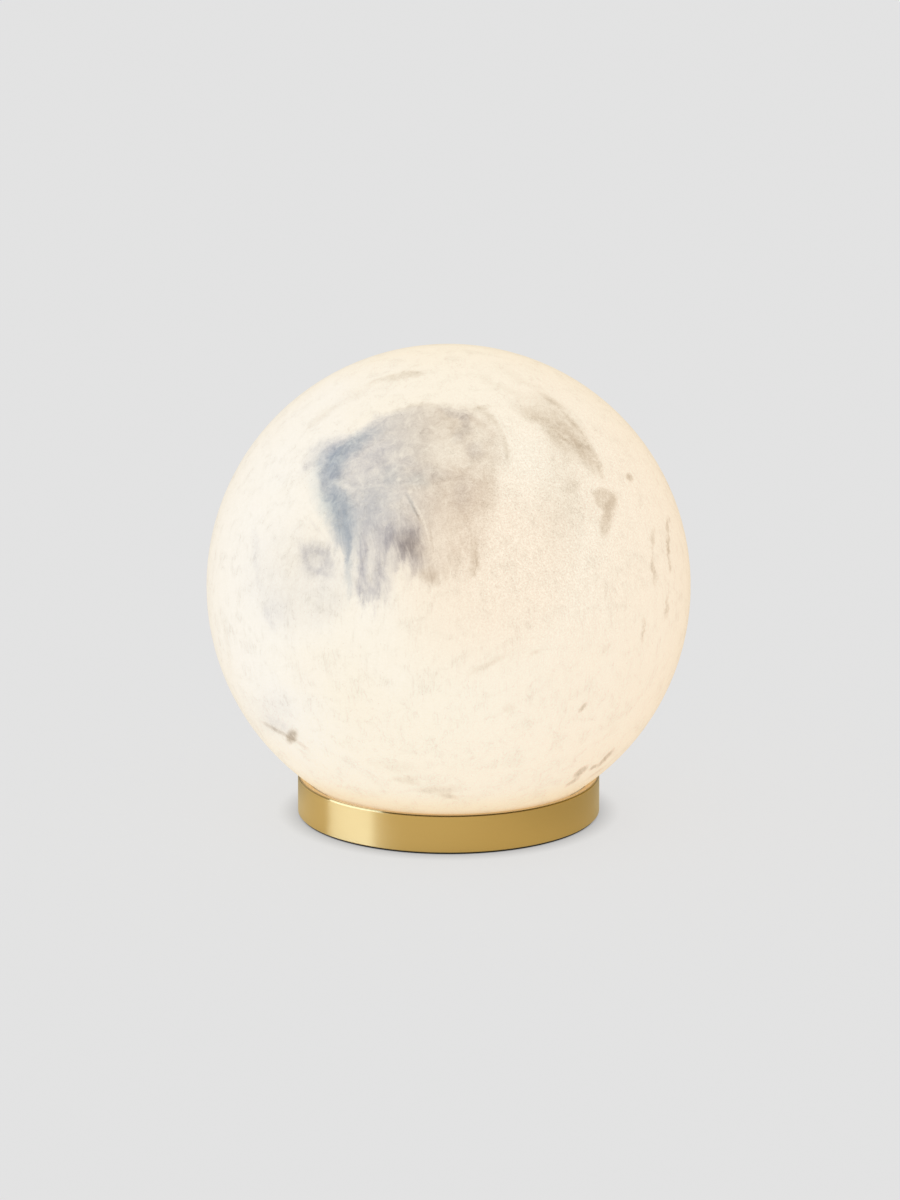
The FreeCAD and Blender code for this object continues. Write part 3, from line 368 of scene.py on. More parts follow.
def put(name: str, data: bpy.types.ID) -> bpy.types.Object:
    """Puts a mesh, a light or a camera in the scene.

    Args:
        name: the object's name.
        data: what it shows.

    Returns:
        The object.
    """
    thing = bpy.data.objects.new(name, data)
    bpy.context.scene.collection.objects.link(thing)
    return thing


# Finishes


class Grain(Enum):
    """How a finish's surface was made."""

    MOULDED = "mottled_skin"
    TURNED = "turned_lines"


@dataclass(frozen=True)
class Finish:
    """A plain finish: one colour with its surface grain and handling marks.

    The colour is linear. change and gloss_change are how far colour and roughness wander, and bump_mm is the
    depth of the grain.
    """

    slot: str
    colour: Colour
    roughness: float
    metallic: float = 0.0
    grain: Grain = Grain.MOULDED
    change: float = 0.12
    gloss_change: float = 0.15
    patches: float = 0.15
    fineness: float = 6.0
    bump_mm: float = 0.01
    scuff: float = 0.25
    anisotropy: float = 0.0
    coat: float = 0.0
    coat_roughness: float = 0.03
    transmission: float = 0.0
    glow: Colour = (1.0, 1.0, 1.0)
    glow_strength: float = 0.0

    def build(self) -> bpy.types.Material:
        """Makes the material.

        Returns:
            The material.
        """
        material, graph = new_material(self.slot)
        shader = graph.tree.nodes["Principled BSDF"]
        self.fill(graph, shader)
        return material

    def fill(self, graph: Graph, shader: bpy.types.Node) -> None:
        """Adds the finish's nodes in front of its shader.

        Args:
            graph: the material's nodes.
            shader: its Principled BSDF.
        """
        values = {"Color": self.colour, "Roughness": self.roughness}
        values.update({"Change": self.change, "Gloss Change": self.gloss_change})
        if self.grain is Grain.TURNED:
            values["Lines"] = self.fineness
        else:
            values.update({"Patches": self.patches, "Grain": self.fineness})
        surface = use_group(graph, self.grain.value, values)
        scuffs = use_group(graph, "handling_scuffs", {"Size": SCUFF_SIZE, "Amount": self.scuff})["Mask"]
        paler = tuple(min(1.0, c * SCUFF_PALER + SCUFF_DUST) for c in self.colour)
        worn = graph.mix(graph.times(scuffs, SCUFF_SHOWS), surface["Color"], paler)
        graph.feed(shader.inputs["Base Color"], worn)
        gloss = graph.times(scuffs, SCUFF_DULLS, surface["Roughness"], clamp=True)
        graph.feed(shader.inputs["Roughness"], gloss)
        bump = graph.add("Bump", {"Strength": 1.0, "Distance": self.bump_mm * MM, "Height": surface["Height"]})
        graph.feed(shader.inputs["Normal"], bump.outputs["Normal"])
        for name, value in {
            "Metallic": self.metallic,
            "Anisotropic": self.anisotropy,
            "Coat Weight": self.coat,
            "Coat Roughness": self.coat_roughness,
            "Transmission Weight": self.transmission,
            "Emission Color": self.glow,
            "Emission Strength": self.glow_strength,
        }.items():
            graph.feed(shader.inputs[name], value)
        if self.anisotropy:
            tangent = graph.add("Tangent", direction_type="RADIAL", axis="Z")
            graph.feed(shader.inputs["Tangent"], tangent.outputs[0])
            shader.inputs["Anisotropic Rotation"].default_value = QUARTER_TURN


@dataclass(frozen=True)
class BrassFinish(Finish):
    """Lacquered brass: brushed round the wall, with painted shade darkening its fine cut edge and a paler face
    inside it.

    The edge starts at a height and a radius, the face lies at the ring's top, and both fade in over a short way.
    The face is painted paler as a painted reflection, so that the glowing globe mirrored in it reads pale.
    """

    edge_low_mm: float = 12.93
    edge_radius_mm: float = 49.25
    edge_roughness: float = 0.14
    # Painted shade: the cut edge's colour is darkened so that it reads as the dark line of the gap under the
    # globe.
    gap_shade_colour: Colour = (0.38, 0.255, 0.09)
    edge_fade_mm: tuple[float, float] = (0.05, 0.1)
    top_mm: float = 13.325
    top_fade_mm: tuple[float, float] = (0.05, 0.01)
    # Painted reflection: the top face's colour is paler so that the glowing globe mirrored in it reads pale, not
    # orange.
    top_reflection_colour: Colour = (0.86, 0.67, 0.38)

    def fill(self, graph: Graph, shader: bpy.types.Node) -> None:
        """Adds the cut edge and the top face to the plain finish.

        Args:
            graph: the material's nodes.
            shader: its Principled BSDF.
        """
        super().fill(graph, shader)
        place = graph.place_mm()
        height = graph.split(place)[2]
        radius = graph.vector("LENGTH", graph.vector("MULTIPLY", place, (1.0, 1.0, 0.0)))
        high = graph.remap(height, self.edge_low_mm, self.edge_low_mm + self.edge_fade_mm[0])
        outer = graph.remap(radius, self.edge_radius_mm, self.edge_radius_mm + self.edge_fade_mm[1])
        edge = graph.times(high, outer)
        top = graph.remap(height, *(self.top_mm - fade for fade in self.top_fade_mm))
        plain = shader.inputs["Base Color"].links[0].from_socket
        # Paints the gap's shade on the cut edge and the globe's pale reflection on the top face.
        colour = graph.mix(edge, graph.mix(top, plain, self.top_reflection_colour), self.gap_shade_colour)
        graph.feed(shader.inputs["Base Color"], colour)
        brushed = shader.inputs["Roughness"].links[0].from_socket
        smooth = graph.times(graph.minus(self.edge_roughness, brushed), edge, brushed)
        graph.feed(shader.inputs["Roughness"], smooth)


# The stone


class Field(Enum):
    """How a mark is laid in the stone."""

    CRISP = "on the front face"
    CLOUD = "on the front face, drawn about"
    DRIP = "on the front face, drawn down along fibres"
    DEEP = "in the depth, drawn about"


@dataclass(frozen=True)
class Mark:
    """One soft ellipse of colour in the stone.

    Places and sizes on the front face are in its own units, 3.04 to the millimetre, with y downward. A deep mark
    is an ellipsoid with places and sizes in millimetres from the globe's centre. A positive turn, in degrees, is
    clockwise. soft is the share of the half size over which it fades, and depth is how much light it takes.
    """

    field: Field
    x: float
    y: float
    half_x: float
    half_y: float
    turn: float
    soft: float
    depth: float
    z: float = 0.0
    half_z: float = 1.0


crisp, cloud, drip = (partial(Mark, field) for field in (Field.CRISP, Field.CLOUD, Field.DRIP))


def deep(
    x: float, y: float, z: float, half_x: float, half_y: float, half_z: float, soft: float, depth: float
) -> Mark:
    """Gives a deep mark, for the sides and the back."""
    return Mark(Field.DEEP, x, y, half_x, half_y, 0.0, soft, depth, z, half_z)


# Outline of the large cloud. Where two overlap, the deeper one counts.
CLOUD_BODY = (
    cloud(351, 474, 33, 37, 0, 0.16, 1.0), cloud(394, 450, 50, 34, -28, 0.16, 0.95),
    cloud(441, 440, 55, 32, 0, 0.16, 0.9), cloud(477, 448, 26, 34, -20, 0.5, 0.56),
    cloud(430, 492, 61, 50, 0, 0.3, 0.95), drip(366, 522, 34, 52, -6, 0.28, 0.95),
    drip(405, 538, 34, 40, 0, 0.3, 0.95), drip(372, 568, 24, 34, 0, 0.45, 0.78),
    drip(430, 560, 18, 24, 0, 0.45, 0.62), drip(458, 528, 27, 44, 0, 0.5, 0.55),
)

# Light that the body takes, per channel, at its left and its right.
BODY_LEFT = (0.33, 0.32, 0.245)
BODY_RIGHT = (0.24, 0.30, 0.34)
BODY_LEFT_X = 372.0
BODY_RIGHT_X = 462.0

# The front's marks: the blue-grey left edge, the greys and streaks, and the taupes with the small dark marks.
BLUE_MARKS = (
    cloud(330, 484, 16, 29, -8, 0.7, 0.26), cloud(334, 463, 17, 12, -45, 0.7, 0.19),
    cloud(349, 449, 20, 8, -35, 0.7, 0.26), cloud(368, 437, 18, 7, -30, 0.8, 0.14),
    cloud(340, 514, 14, 26, -22, 0.7, 0.24), drip(346, 536, 10, 22, -14, 0.7, 0.24),
    drip(349, 566, 4, 26, 0, 0.7, 0.18), cloud(392, 476, 9, 8, 0, 0.9, 0.12),
    cloud(417, 481, 10, 6, 0, 0.9, 0.14), cloud(366, 506, 24, 22, -20, 0.9, 0.1),
    crisp(413, 506, 1.8, 11, -26, 0.8, 0.18),
)

GREY_MARKS = (
    cloud(408, 547, 12, 13, 0, 0.85, 0.28), cloud(415, 533, 8, 9, 0, 0.9, 0.16),
    cloud(414, 563, 10, 7, 20, 0.9, 0.14), drip(388, 538, 6, 16, 5, 0.85, 0.22),
    cloud(399, 534, 20, 20, 0, 0.9, 0.1), drip(364, 558, 4, 18, 3, 0.85, 0.2),
    drip(361, 584, 4.5, 16, 5, 0.85, 0.21), drip(380, 574, 4.5, 14, 5, 0.85, 0.16),
    drip(371, 592, 4, 11, 0, 0.85, 0.1), cloud(475, 451, 7, 7, 0, 0.9, 0.14),
    cloud(461, 438, 5, 6, 0, 0.9, 0.14), cloud(456, 414, 13, 3.5, 14, 0.8, 0.16),
    cloud(466, 425, 4, 10, -25, 0.8, 0.12), cloud(408, 461, 7, 4, 30, 0.9, 0.12),
    cloud(384, 456, 15, 6, -28, 0.9, 0.1), cloud(432, 472, 17, 6, 12, 0.9, 0.1),
    cloud(463, 494, 9, 14, 10, 0.9, 0.09), cloud(374, 522, 8, 16, -12, 0.9, 0.09),
    cloud(316, 456, 17, 6, -48, 0.8, 0.14), crisp(307, 467, 5, 2.5, -45, 0.8, 0.12),
    cloud(318, 562, 15, 15, 0, 0.7, 0.26), cloud(306, 558, 3.5, 13, -15, 0.8, 0.12),
    cloud(322, 574, 11, 3.5, 22, 0.8, 0.12), cloud(321, 552, 11, 3, 12, 0.8, 0.09),
    cloud(333, 562, 3, 16, -12, 0.8, 0.08), cloud(276, 610, 13, 15, -20, 0.8, 0.05),
    cloud(268, 618, 3, 12, -20, 0.8, 0.07), cloud(299, 582, 46, 44, 0, 0.6, 0.04),
    cloud(256, 562, 3, 24, -8, 0.9, 0.07), cloud(327, 604, 14, 16, 0, 0.9, 0.05),
    crisp(316, 528, 9, 1.6, 48, 0.8, 0.07), cloud(279, 728, 14, 5, 30, 0.9, 0.09),
    cloud(272, 714, 22, 20, 30, 0.9, 0.05),
)

TAUPE_MARKS = (
    cloud(408, 547, 11, 12, 0, 0.85, 0.19), crisp(416, 512, 0.9, 13, -28, 0.8, 0.2),
    crisp(432, 538, 0.9, 14, -8, 0.8, 0.16), crisp(292, 738, 4.6, 6.4, 20, 0.6, 0.52),
    crisp(277, 732, 14, 1.6, 29, 0.9, 0.26), crisp(301, 746, 8, 1.5, 36, 0.8, 0.14),
    cloud(431, 577, 9, 7, 20, 0.85, 0.2), cloud(302, 576, 44, 44, 0, 0.6, 0.04),
    drip(448, 574, 4, 12, 0, 0.85, 0.08), drip(476, 558, 4, 16, -6, 0.75, 0.22),
    drip(473, 574, 3, 7, 15, 0.8, 0.12), cloud(490, 419, 11, 3.2, 35, 0.8, 0.14),
    crisp(483, 408, 8, 2, -12, 0.8, 0.12), cloud(416, 409, 20, 2.6, -6, 0.8, 0.09),
    cloud(502, 436, 2.6, 14, -28, 0.8, 0.12), cloud(508, 451, 2.4, 8, -5, 0.8, 0.12),
    cloud(488, 484, 6, 24, 0, 0.9, 0.08), cloud(557, 423, 27, 14, 44, 0.75, 0.22),
    cloud(570, 441, 20, 12, 44, 0.85, 0.17), cloud(589, 455, 19, 6, 56, 0.85, 0.28),
    cloud(532, 415, 13, 6, 30, 0.9, 0.2), crisp(553, 401, 13, 2.4, 32, 0.8, 0.18),
    crisp(574, 423, 14, 2.2, 48, 0.8, 0.2), crisp(592, 449, 15, 2.2, 57, 0.8, 0.18),
    crisp(602, 472, 9, 1.8, 68, 0.8, 0.14), crisp(565, 439, 9, 1.3, 42, 0.7, 0.2),
    cloud(508, 391, 26, 4, 28, 0.9, 0.06), cloud(524, 380, 22, 3, 30, 0.9, 0.05),
    cloud(564, 500, 20, 46, 0, 0.9, 0.1), cloud(575, 487, 5, 6, 0, 0.9, 0.09),
    crisp(607, 500, 10.5, 10, 20, 0.35, 0.26), crisp(612, 508, 6, 11, 14, 0.55, 0.18),
    crisp(607, 524, 5.5, 13, 8, 0.45, 0.26), crisp(599, 492, 6, 3, -30, 0.6, 0.14),
    crisp(631, 478, 2.6, 4, -30, 0.7, 0.42), cloud(670, 526, 1.6, 7, -4, 0.8, 0.26),
    cloud(671, 546, 1.8, 9, -2, 0.8, 0.44), cloud(672, 566, 1.4, 7, 2, 0.8, 0.26),
    cloud(654, 540, 1.6, 9, -3, 0.8, 0.2), cloud(655, 570, 1.8, 12, 0, 0.8, 0.24),
    cloud(669, 606, 1.4, 10, 4, 0.8, 0.22), cloud(646, 634, 1.6, 12, 9, 0.8, 0.18),
    crisp(584, 709, 5, 1.7, -52, 0.7, 0.36), cloud(512, 709, 6, 4, 0, 0.9, 0.08),
    cloud(484, 667, 14, 3, -30, 0.9, 0.08), cloud(500, 660, 12, 2.5, -25, 0.9, 0.06),
    crisp(536, 654, 4, 2, -20, 0.8, 0.12), crisp(608, 650, 7, 1.5, -52, 0.8, 0.08),
    crisp(582, 773.5, 8, 2.4, -40, 0.6, 0.42), crisp(595, 769, 4.5, 1.2, -35, 0.7, 0.38),
    crisp(607, 760, 10, 1.5, -48, 0.7, 0.42), crisp(574, 783.5, 7, 1.4, -33, 0.7, 0.32),
    crisp(597, 775, 9, 1.0, -36, 0.8, 0.16), cloud(407, 781, 12, 3, 10, 0.9, 0.13),
    cloud(440, 791, 17, 3.4, 0, 0.85, 0.17), crisp(449, 798, 8, 2, 10, 0.85, 0.22),
    cloud(396, 768, 22, 4, 8, 0.9, 0.05), cloud(397, 377, 24, 2.8, -12, 0.85, 0.15),
    crisp(413, 373, 9, 2, 4, 0.85, 0.16), cloud(322, 420, 17, 3, -42, 0.9, 0.09),
    cloud(352, 396, 24, 3, -32, 0.9, 0.05), cloud(225, 640, 2.4, 30, -8, 0.9, 0.05),
)

# Places where the stone stays pale inside the clouds: depth is the share of light that comes back.
PALE_MARKS = (
    cloud(357, 479, 13, 14, 0, 0.75, 0.16), crisp(345, 487, 13, 2.4, 22, 0.85, 0.35),
    cloud(449, 452, 16, 13, 0, 0.9, 0.55), cloud(480, 438, 8, 11, -10, 0.9, 0.55),
    crisp(411, 492, 2.6, 2.6, 0, 0.7, 0.6), crisp(399, 480, 2.2, 1.6, 0, 0.7, 0.5),
    crisp(419, 511, 1.0, 15, -28, 0.7, 0.32), crisp(427, 531, 1.0, 12, -16, 0.7, 0.32),
    crisp(430, 547, 1.0, 10, -4, 0.8, 0.28), drip(355, 566, 3.6, 32, 0, 0.75, 0.6),
    drip(371, 562, 3, 20, 3, 0.85, 0.4), drip(402, 577, 7, 14, 14, 0.75, 0.7),
    cloud(444, 528, 15, 15, 0, 0.9, 0.3), drip(438, 557, 7, 12, 0, 0.9, 0.35),
    drip(393, 556, 4, 12, 10, 0.85, 0.3), cloud(399, 508, 14, 9, -30, 0.9, 0.22),
    cloud(317, 564, 6, 6, 0, 0.9, 0.5),
)

# Clouding of the same three tints at the sides and the back.
BACK_BLUE = (
    deep(38, 58, 34, 17, 15, 12, 0.7, 0.33), deep(28, 68, 22, 16, 12, 16, 0.8, 0.24),
    deep(-74, 18, -12, 8, 12, 17, 0.8, 0.19),
)

BACK_GREY = (
    deep(46, 56, 28, 26, 20, 22, 0.6, 0.34), deep(20, 72, 8, 20, 12, 22, 0.7, 0.26),
    deep(50, 60, -2, 10, 12, 20, 0.8, 0.2), deep(-46, 60, -20, 26, 10, 9, 0.7, 0.2),
    deep(-70, 26, -14, 12, 20, 24, 0.7, 0.2), deep(-8, 52, 58, 24, 10, 12, 0.8, 0.14),
    deep(74, 24, -12, 10, 9, 30, 0.8, 0.14),
)

BACK_TAUPE = (
    deep(-34, 66, 30, 22, 14, 14, 0.8, 0.2), deep(-56, 48, 24, 14, 16, 10, 0.8, 0.14),
    deep(60, 40, -36, 22, 22, 8, 0.8, 0.14), deep(2, 66, -42, 26, 12, 6, 0.8, 0.16),
    deep(-40, -4, 68, 18, 12, 8, 0.8, 0.1), deep(40, 30, 62, 14, 24, 10, 0.8, 0.12),
)

# The renderer works this many marks at a time. The wait itself is too small to move anything.
MARKS_AT_A_TIME = 8
WAIT = 1e-20

# Light that one unit of each tint takes, per channel.
BLUE_TAKES = (1.00, 0.75, 0.50)
GREY_TAKES = (1.00, 0.97, 0.76)
TAUPE_TAKES = (0.80, 0.97, 1.16)
SPECKLE_TAKES = (0.80, 1.0, 1.14)
STREAK_TAKES = (0.94, 1.0, 1.08)

# The stone's noises: scale, detail, roughness and twist.
WIDE_DRIFT = (0.085, 3.0, 0.6)
FINE_DRIFT = (0.42, 4.0, 0.65)
TINY_DRIFT = (1.3, 2.0, 0.6)
BACK_DRIFT = (0.05, 5.0, 0.62)
DRIP_FIBRES = (1.0, 4.0, 0.65, 0.5)
CLOUD_FIBRES = (1.0, 5.0, 0.72, 0.7)
CLOUDING = (0.30, 7.0, 0.74, 0.6)
SPECKLE = (1.7, 3.0, 0.9)
WAVES = (0.16, 5.0, 0.65, 0.8)
STRATA = (1.0, 4.0, 0.6, 0.8)
SLOW_GLOW = (0.03, 3.0, 0.6)

# How far the drifts reach, and how fibres and strata stretch and lean.
WIDE_REACH = (16.0, 16.0, 0.0)
FINE_REACH = (7.0, 7.0, 0.0)
TINY_REACH = (2.6, 2.6, 0.0)
BACK_REACH = (34.0, 34.0, 34.0)
DRIP_STRETCH = (0.15, 0.035)
DRIP_REACH = 62.0
FIBRE_STRETCH = (0.17, 0.045)
FIBRE_LEAN = -0.16
FIBRE_LAYER = 3.0
STRATA_STRETCH = (0.42, 0.42, 0.07)

# Ranges: where each starts and ends, and for some the values there.
FRONT_FADE = (-2.0, 9.0)
BACK_FADE = (-12.0, 4.0)
FIBRES_DOWN = (480.0, 560.0)
FIBRES_ACROSS = (326.0, 346.0, 0.0, 0.85)
CLOUD_DEPTH = (0.30, 0.70, 0.40, 1.60)
BACK_DEPTH = (0.34, 0.66, 0.15, 1.9)
WAVE_RANGE = (0.46, 0.80, 0.0, 1.0)
PIT_RANGE = (0.13, 0.05)
PIT_CLUSTERS = (0.48, 0.58)
STRATA_RANGE = (0.040, 0.0)
STRATA_DEPTH = (0.44, 0.66, 0.02, 0.11)
# The glow's left-to-right swing: cool at the upper left as a painted sheen, peach at the right as painted shade.
WARM_RANGE = (-20.0, 90.0)
COOL_RANGE = (-10.0, -75.0)
SEAT_RANGE = (-52.0, -66.0)
HAZE_RANGE = (50.0, 12.0, 0.0, 0.95)
SPECKLE_AREA = (170.0, 40.0)

# Places and levels of the fine features.
HAZE_AT = (16.6, -73.5, 26.5)
SPECKLE_AT = (545.0, 520.0, 0.0)
SPECKLE_MEAN = 0.49
SPECKLE_MOST = 0.80
SPECKLE_LEAST = 0.24
BLUE_GRAIN = 0.45
WAVE_DEPTH = 0.07
PIT_SCALE = 0.5
PIT_DEPTH = 0.22
GLOW_SWING_MM = 60.0
GLOW_LEAN = -0.15
SEAT_SHARE = 0.8


@dataclass(frozen=True)
class StoneFinish:
    """Lit alabaster: a cream glow with clouds that take light, fine crystal speckle and a peach rim.

    Sizes of the front face are in its own units, and the view vectors are those of the face that the marks were
    laid out on, so that the stone looks the same from everywhere else as well.
    """

    slot: str = "alabaster"
    centre_mm: tuple[float, float, float] = (0.0, 0.0, 77.699)
    tilt: float = math.radians(15.8)
    viewing_mm: float = 4406.0
    units: float = 3.04
    centre_x: float = 449.4
    centre_y: float = 586.8
    cream: Colour = (0.965, 0.903, 0.775)
    peach: Colour = (0.950, 0.838, 0.690)
    # Painted sheen: the glow's cooler tint at the upper left, where light falls from the left.
    cool: Colour = (0.965, 0.945, 0.890)
    lit_share: float = 0.56
    own_share: float = 0.58
    seat: Colour = (0.98, 0.837, 0.60)
    rim: Colour = (1.0, 0.985, 0.965)
    rim_ior: float = 1.03
    rim_roughness: float = 0.30
    roughness: float = 0.42
    specular: float = 0.0
    bump_mm: float = 0.03

    def build(self) -> bpy.types.Material:
        """Makes the material.

        Returns:
            The material.
        """
        material, graph = new_material(self.slot)
        shader = graph.tree.nodes["Principled BSDF"]
        make_group("alabaster_clouding", [], [("Color", "Color", None), ("Float", "Height", None)], self.fill)
        stone = use_group(graph, "alabaster_clouding", {})
        bump = graph.add("Bump", {"Strength": 1.0, "Distance": self.bump_mm * MM, "Height": stone["Height"]})
        for name, value in {
            "Base Color": graph.scaled(stone["Color"], self.own_share),
            "Emission Color": stone["Color"],
            "Emission Strength": self.lit_share,
            "Roughness": self.roughness,
            "Specular IOR Level": self.specular,
            "Coat Weight": 1.0,
            "Coat Roughness": self.rim_roughness,
            "Coat IOR": self.rim_ior,
            "Coat Tint": self.rim,
            "Normal": bump.outputs["Normal"],
        }.items():
            graph.feed(shader.inputs[name], value)
        return material

    def face(self, graph: Graph, place: Socket) -> tuple[Socket, Socket]:
        """Lays a point of the globe on the front face.

        Args:
            graph: the group's nodes.
            place: the point, in millimetres from the globe's centre.

        Returns:
            The place on the face, and how far the point lies in front of the globe's centre plane.
        """
        towards = (0.0, -math.cos(self.tilt), math.sin(self.tilt))
        upward = (0.0, math.sin(self.tilt), math.cos(self.tilt))
        front = graph.vector("DOT_PRODUCT", place, towards)
        far = graph.minus(self.viewing_mm, front)
        scale = graph.math("DIVIDE", self.units * self.viewing_mm, far)
        right = graph.vector("DOT_PRODUCT", place, (1.0, 0.0, 0.0))
        up = graph.vector("DOT_PRODUCT", place, upward)
        x = graph.times(right, scale, self.centre_x)
        y = graph.minus(self.centre_y, graph.times(up, scale))
        return graph.join(x, y, 0.0), front

    def fields(self, graph: Graph, place: Socket, face: Socket) -> dict[Field, Socket]:
        """Draws the front face about, a little or a lot, as the stone's own layers do.

        Args:
            graph: the group's nodes.
            place: the point in millimetres.
            face: its place on the front face.

        Returns:
            The face as each field has it.
        """
        wide = self.drift(graph, graph.noise(place, *WIDE_DRIFT), WIDE_REACH)
        fine = self.drift(graph, graph.noise(place, *FINE_DRIFT), FINE_REACH)
        tiny = self.drift(graph, graph.noise(place, *TINY_DRIFT), TINY_REACH)
        still = graph.summed(face, tiny)
        drawn = graph.summed(graph.summed(face, wide), graph.summed(fine, tiny))
        x, y, _ = graph.split(graph.summed(face, fine))
        fibre_at = graph.join(graph.times(x, DRIP_STRETCH[0]), graph.times(y, DRIP_STRETCH[1]), 0.0)
        fibre = graph.minus(graph.grey(fibre_at, *DRIP_FIBRES), MIDDLE)
        hanging = graph.join(x, graph.times(fibre, DRIP_REACH, y), 0.0)
        return {Field.CRISP: still, Field.CLOUD: drawn, Field.DRIP: hanging}

    def drift(self, graph: Graph, noise: bpy.types.Node, reach: Colour) -> Socket:
        """Turns a noise into a drift, whose strongest swing would reach this far along each axis."""
        centred = graph.vector("SUBTRACT", noise.outputs["Color"], (MIDDLE,) * 3)
        return graph.vector("MULTIPLY", centred, reach)

    def mask(self, graph: Graph, field: Socket, mark: Mark) -> Socket:
        """Makes a mark's mask.

        Args:
            graph: the group's nodes.
            field: the face that it is drawn on.
            mark: the mark.

        Returns:
            A value from 0 outside to 1 inside.
        """
        inputs = {"Vector": field, "Location": (mark.x, mark.y, mark.z)}
        inputs["Rotation"] = (0.0, 0.0, math.radians(mark.turn))
        inputs["Scale"] = (mark.half_x, mark.half_y, mark.half_z)
        local = graph.add("Mapping", inputs, vector_type="TEXTURE").outputs[0]
        return graph.remap(graph.vector("LENGTH", local), 1.0 + mark.soft, 1.0 - mark.soft)

    def after(self, graph: Graph, place: Socket, total: Any) -> Socket:
        """Makes a place wait for a sum, so that the renderer works a few marks at a time and holds few values."""
        return graph.vector("MULTIPLY_ADD", total, (WAIT, WAIT, WAIT), place)

    def gather(self, graph: Graph, fields: dict[Field, Socket], marks: Iterable[Mark]) -> Socket:
        """Adds up marks of one tint.

        Args:
            graph: the group's nodes.
            fields: the drawn faces or the drawn point, which wait for the marks.
            marks: the marks.

        Returns:
            How much light they take together.
        """
        total: Any = 0.0
        for count, mark in enumerate(marks, start=1):
            total = graph.times(self.mask(graph, fields[mark.field], mark), mark.depth, total)
            if count % MARKS_AT_A_TIME == 0:
                self.hold(graph, fields, total)
        self.hold(graph, fields, total)
        return total

    def hold(self, graph: Graph, fields: dict[Field, Socket], total: Socket) -> None:
        """Makes every drawn face wait for a sum."""
        for field in fields:
            fields[field] = self.after(graph, fields[field], total)

    def body(self, graph: Graph, fields: dict[Field, Socket]) -> Socket:
        """Joins the ellipses of the large cloud.

        Args:
            graph: the group's nodes.
            fields: the drawn faces.

        Returns:
            The cloud's mask.
        """
        whole: Any = 0.0
        for mark in CLOUD_BODY:
            part = graph.times(self.mask(graph, fields[mark.field], mark), mark.depth)
            whole = graph.math("MAXIMUM", whole, part)
        self.hold(graph, fields, whole)
        return whole

    def fill(self, graph: Graph, ins: Any) -> dict[str, Socket]:
        """Makes the stone's colour and its skin.

        Args:
            graph: the group's nodes.
            ins: its inputs, of which it has none; not used.

        Returns:
            Color and Height.
        """
        place = graph.vector("SUBTRACT", graph.place_mm(), self.centre_mm)
        face, front = self.face(graph, place)
        fields = self.fields(graph, place, face)
        clouding = graph.grey(place, *CLOUDING)
        front_takes, last = self.front(graph, fields, face, front, clouding)
        back_takes = self.back(graph, place, front, clouding, last)
        small_takes, speckle = self.fine(graph, place, face, clouding)
        takes = graph.summed(graph.summed(front_takes, back_takes), small_takes)
        passed = graph.join(*(graph.math("EXPONENT", graph.times(part, -1.0)) for part in graph.split(takes)))
        return {"Color": graph.vector("MULTIPLY", self.glow(graph, place), passed), "Height": speckle}

    def depth(self, graph: Graph, face: Socket, clouding: Socket) -> Socket:
        """Makes the front clouds' depth, which turns from clouding above into hanging fibres below.

        Args:
            graph: the group's nodes.
            face: the place on the front face.
            clouding: the stone's clouding.

        Returns:
            The share of a mark's depth that counts.
        """
        x, y, _ = graph.split(face)
        leaning = graph.times(y, FIBRE_LEAN, x)
        across, down = graph.times(leaning, FIBRE_STRETCH[0]), graph.times(y, FIBRE_STRETCH[1])
        fibres = graph.grey(graph.join(across, down, FIBRE_LAYER), *CLOUD_FIBRES)
        lower = graph.times(graph.remap(y, *FIBRES_DOWN), graph.remap(x, *FIBRES_ACROSS))
        texture = graph.times(graph.minus(fibres, clouding), lower, clouding)
        return graph.remap(texture, *CLOUD_DEPTH, smooth=False)

    def front(
        self, graph: Graph, fields: dict[Field, Socket], face: Socket, front: Socket, clouding: Socket
    ) -> tuple[Socket, Socket]:
        """Lays out the clouds and marks of the front.

        Args:
            graph: the group's nodes.
            fields: the drawn faces.
            face: the place on the front face.
            front: how far the point lies in front of the globe's centre plane.
            clouding: the stone's clouding.

        Returns:
            The light that they take per channel, and the last sum, which the back's marks wait for.
        """
        depth = self.depth(graph, face, clouding)
        pale = graph.minus(1.0, self.gather(graph, fields, PALE_MARKS), clamp=True)
        body = graph.times(self.body(graph, fields), depth)
        side = graph.remap(graph.split(face)[0], BODY_LEFT_X, BODY_RIGHT_X)
        body_takes = graph.scaled(graph.mix(side, BODY_LEFT, BODY_RIGHT), body)
        even = graph.times(depth, BLUE_GRAIN, 1.0 - BLUE_GRAIN)
        tints = []
        for group, share in ((BLUE_MARKS, even), (GREY_MARKS, depth), (TAUPE_MARKS, depth)):
            tints.append(graph.times(self.gather(graph, fields, group), share))
        takes = graph.summed(self.tinted(graph, *tints), body_takes)
        return graph.scaled(takes, graph.times(pale, graph.remap(front, *FRONT_FADE))), tints[-1]

    def back(self, graph: Graph, place: Socket, front: Socket, clouding: Socket, last: Socket) -> Socket:
        """Lays out the clouding of the sides and the back.

        Args:
            graph: the group's nodes.
            place: the point in millimetres from the globe's centre.
            front: how far it lies in front of the centre plane.
            clouding: the stone's clouding.
            last: the sum that the marks wait for.

        Returns:
            The light that it takes per channel.
        """
        drawn = graph.summed(place, self.drift(graph, graph.noise(place, *BACK_DRIFT), BACK_REACH))
        inner = {Field.DEEP: self.after(graph, drawn, last)}
        sums = [self.gather(graph, inner, group) for group in (BACK_BLUE, BACK_GREY, BACK_TAUPE)]
        mask = graph.minus(1.0, graph.remap(front, *BACK_FADE))
        depth = graph.times(graph.remap(clouding, *BACK_DEPTH, smooth=False), mask)
        return graph.scaled(self.tinted(graph, *sums), depth)

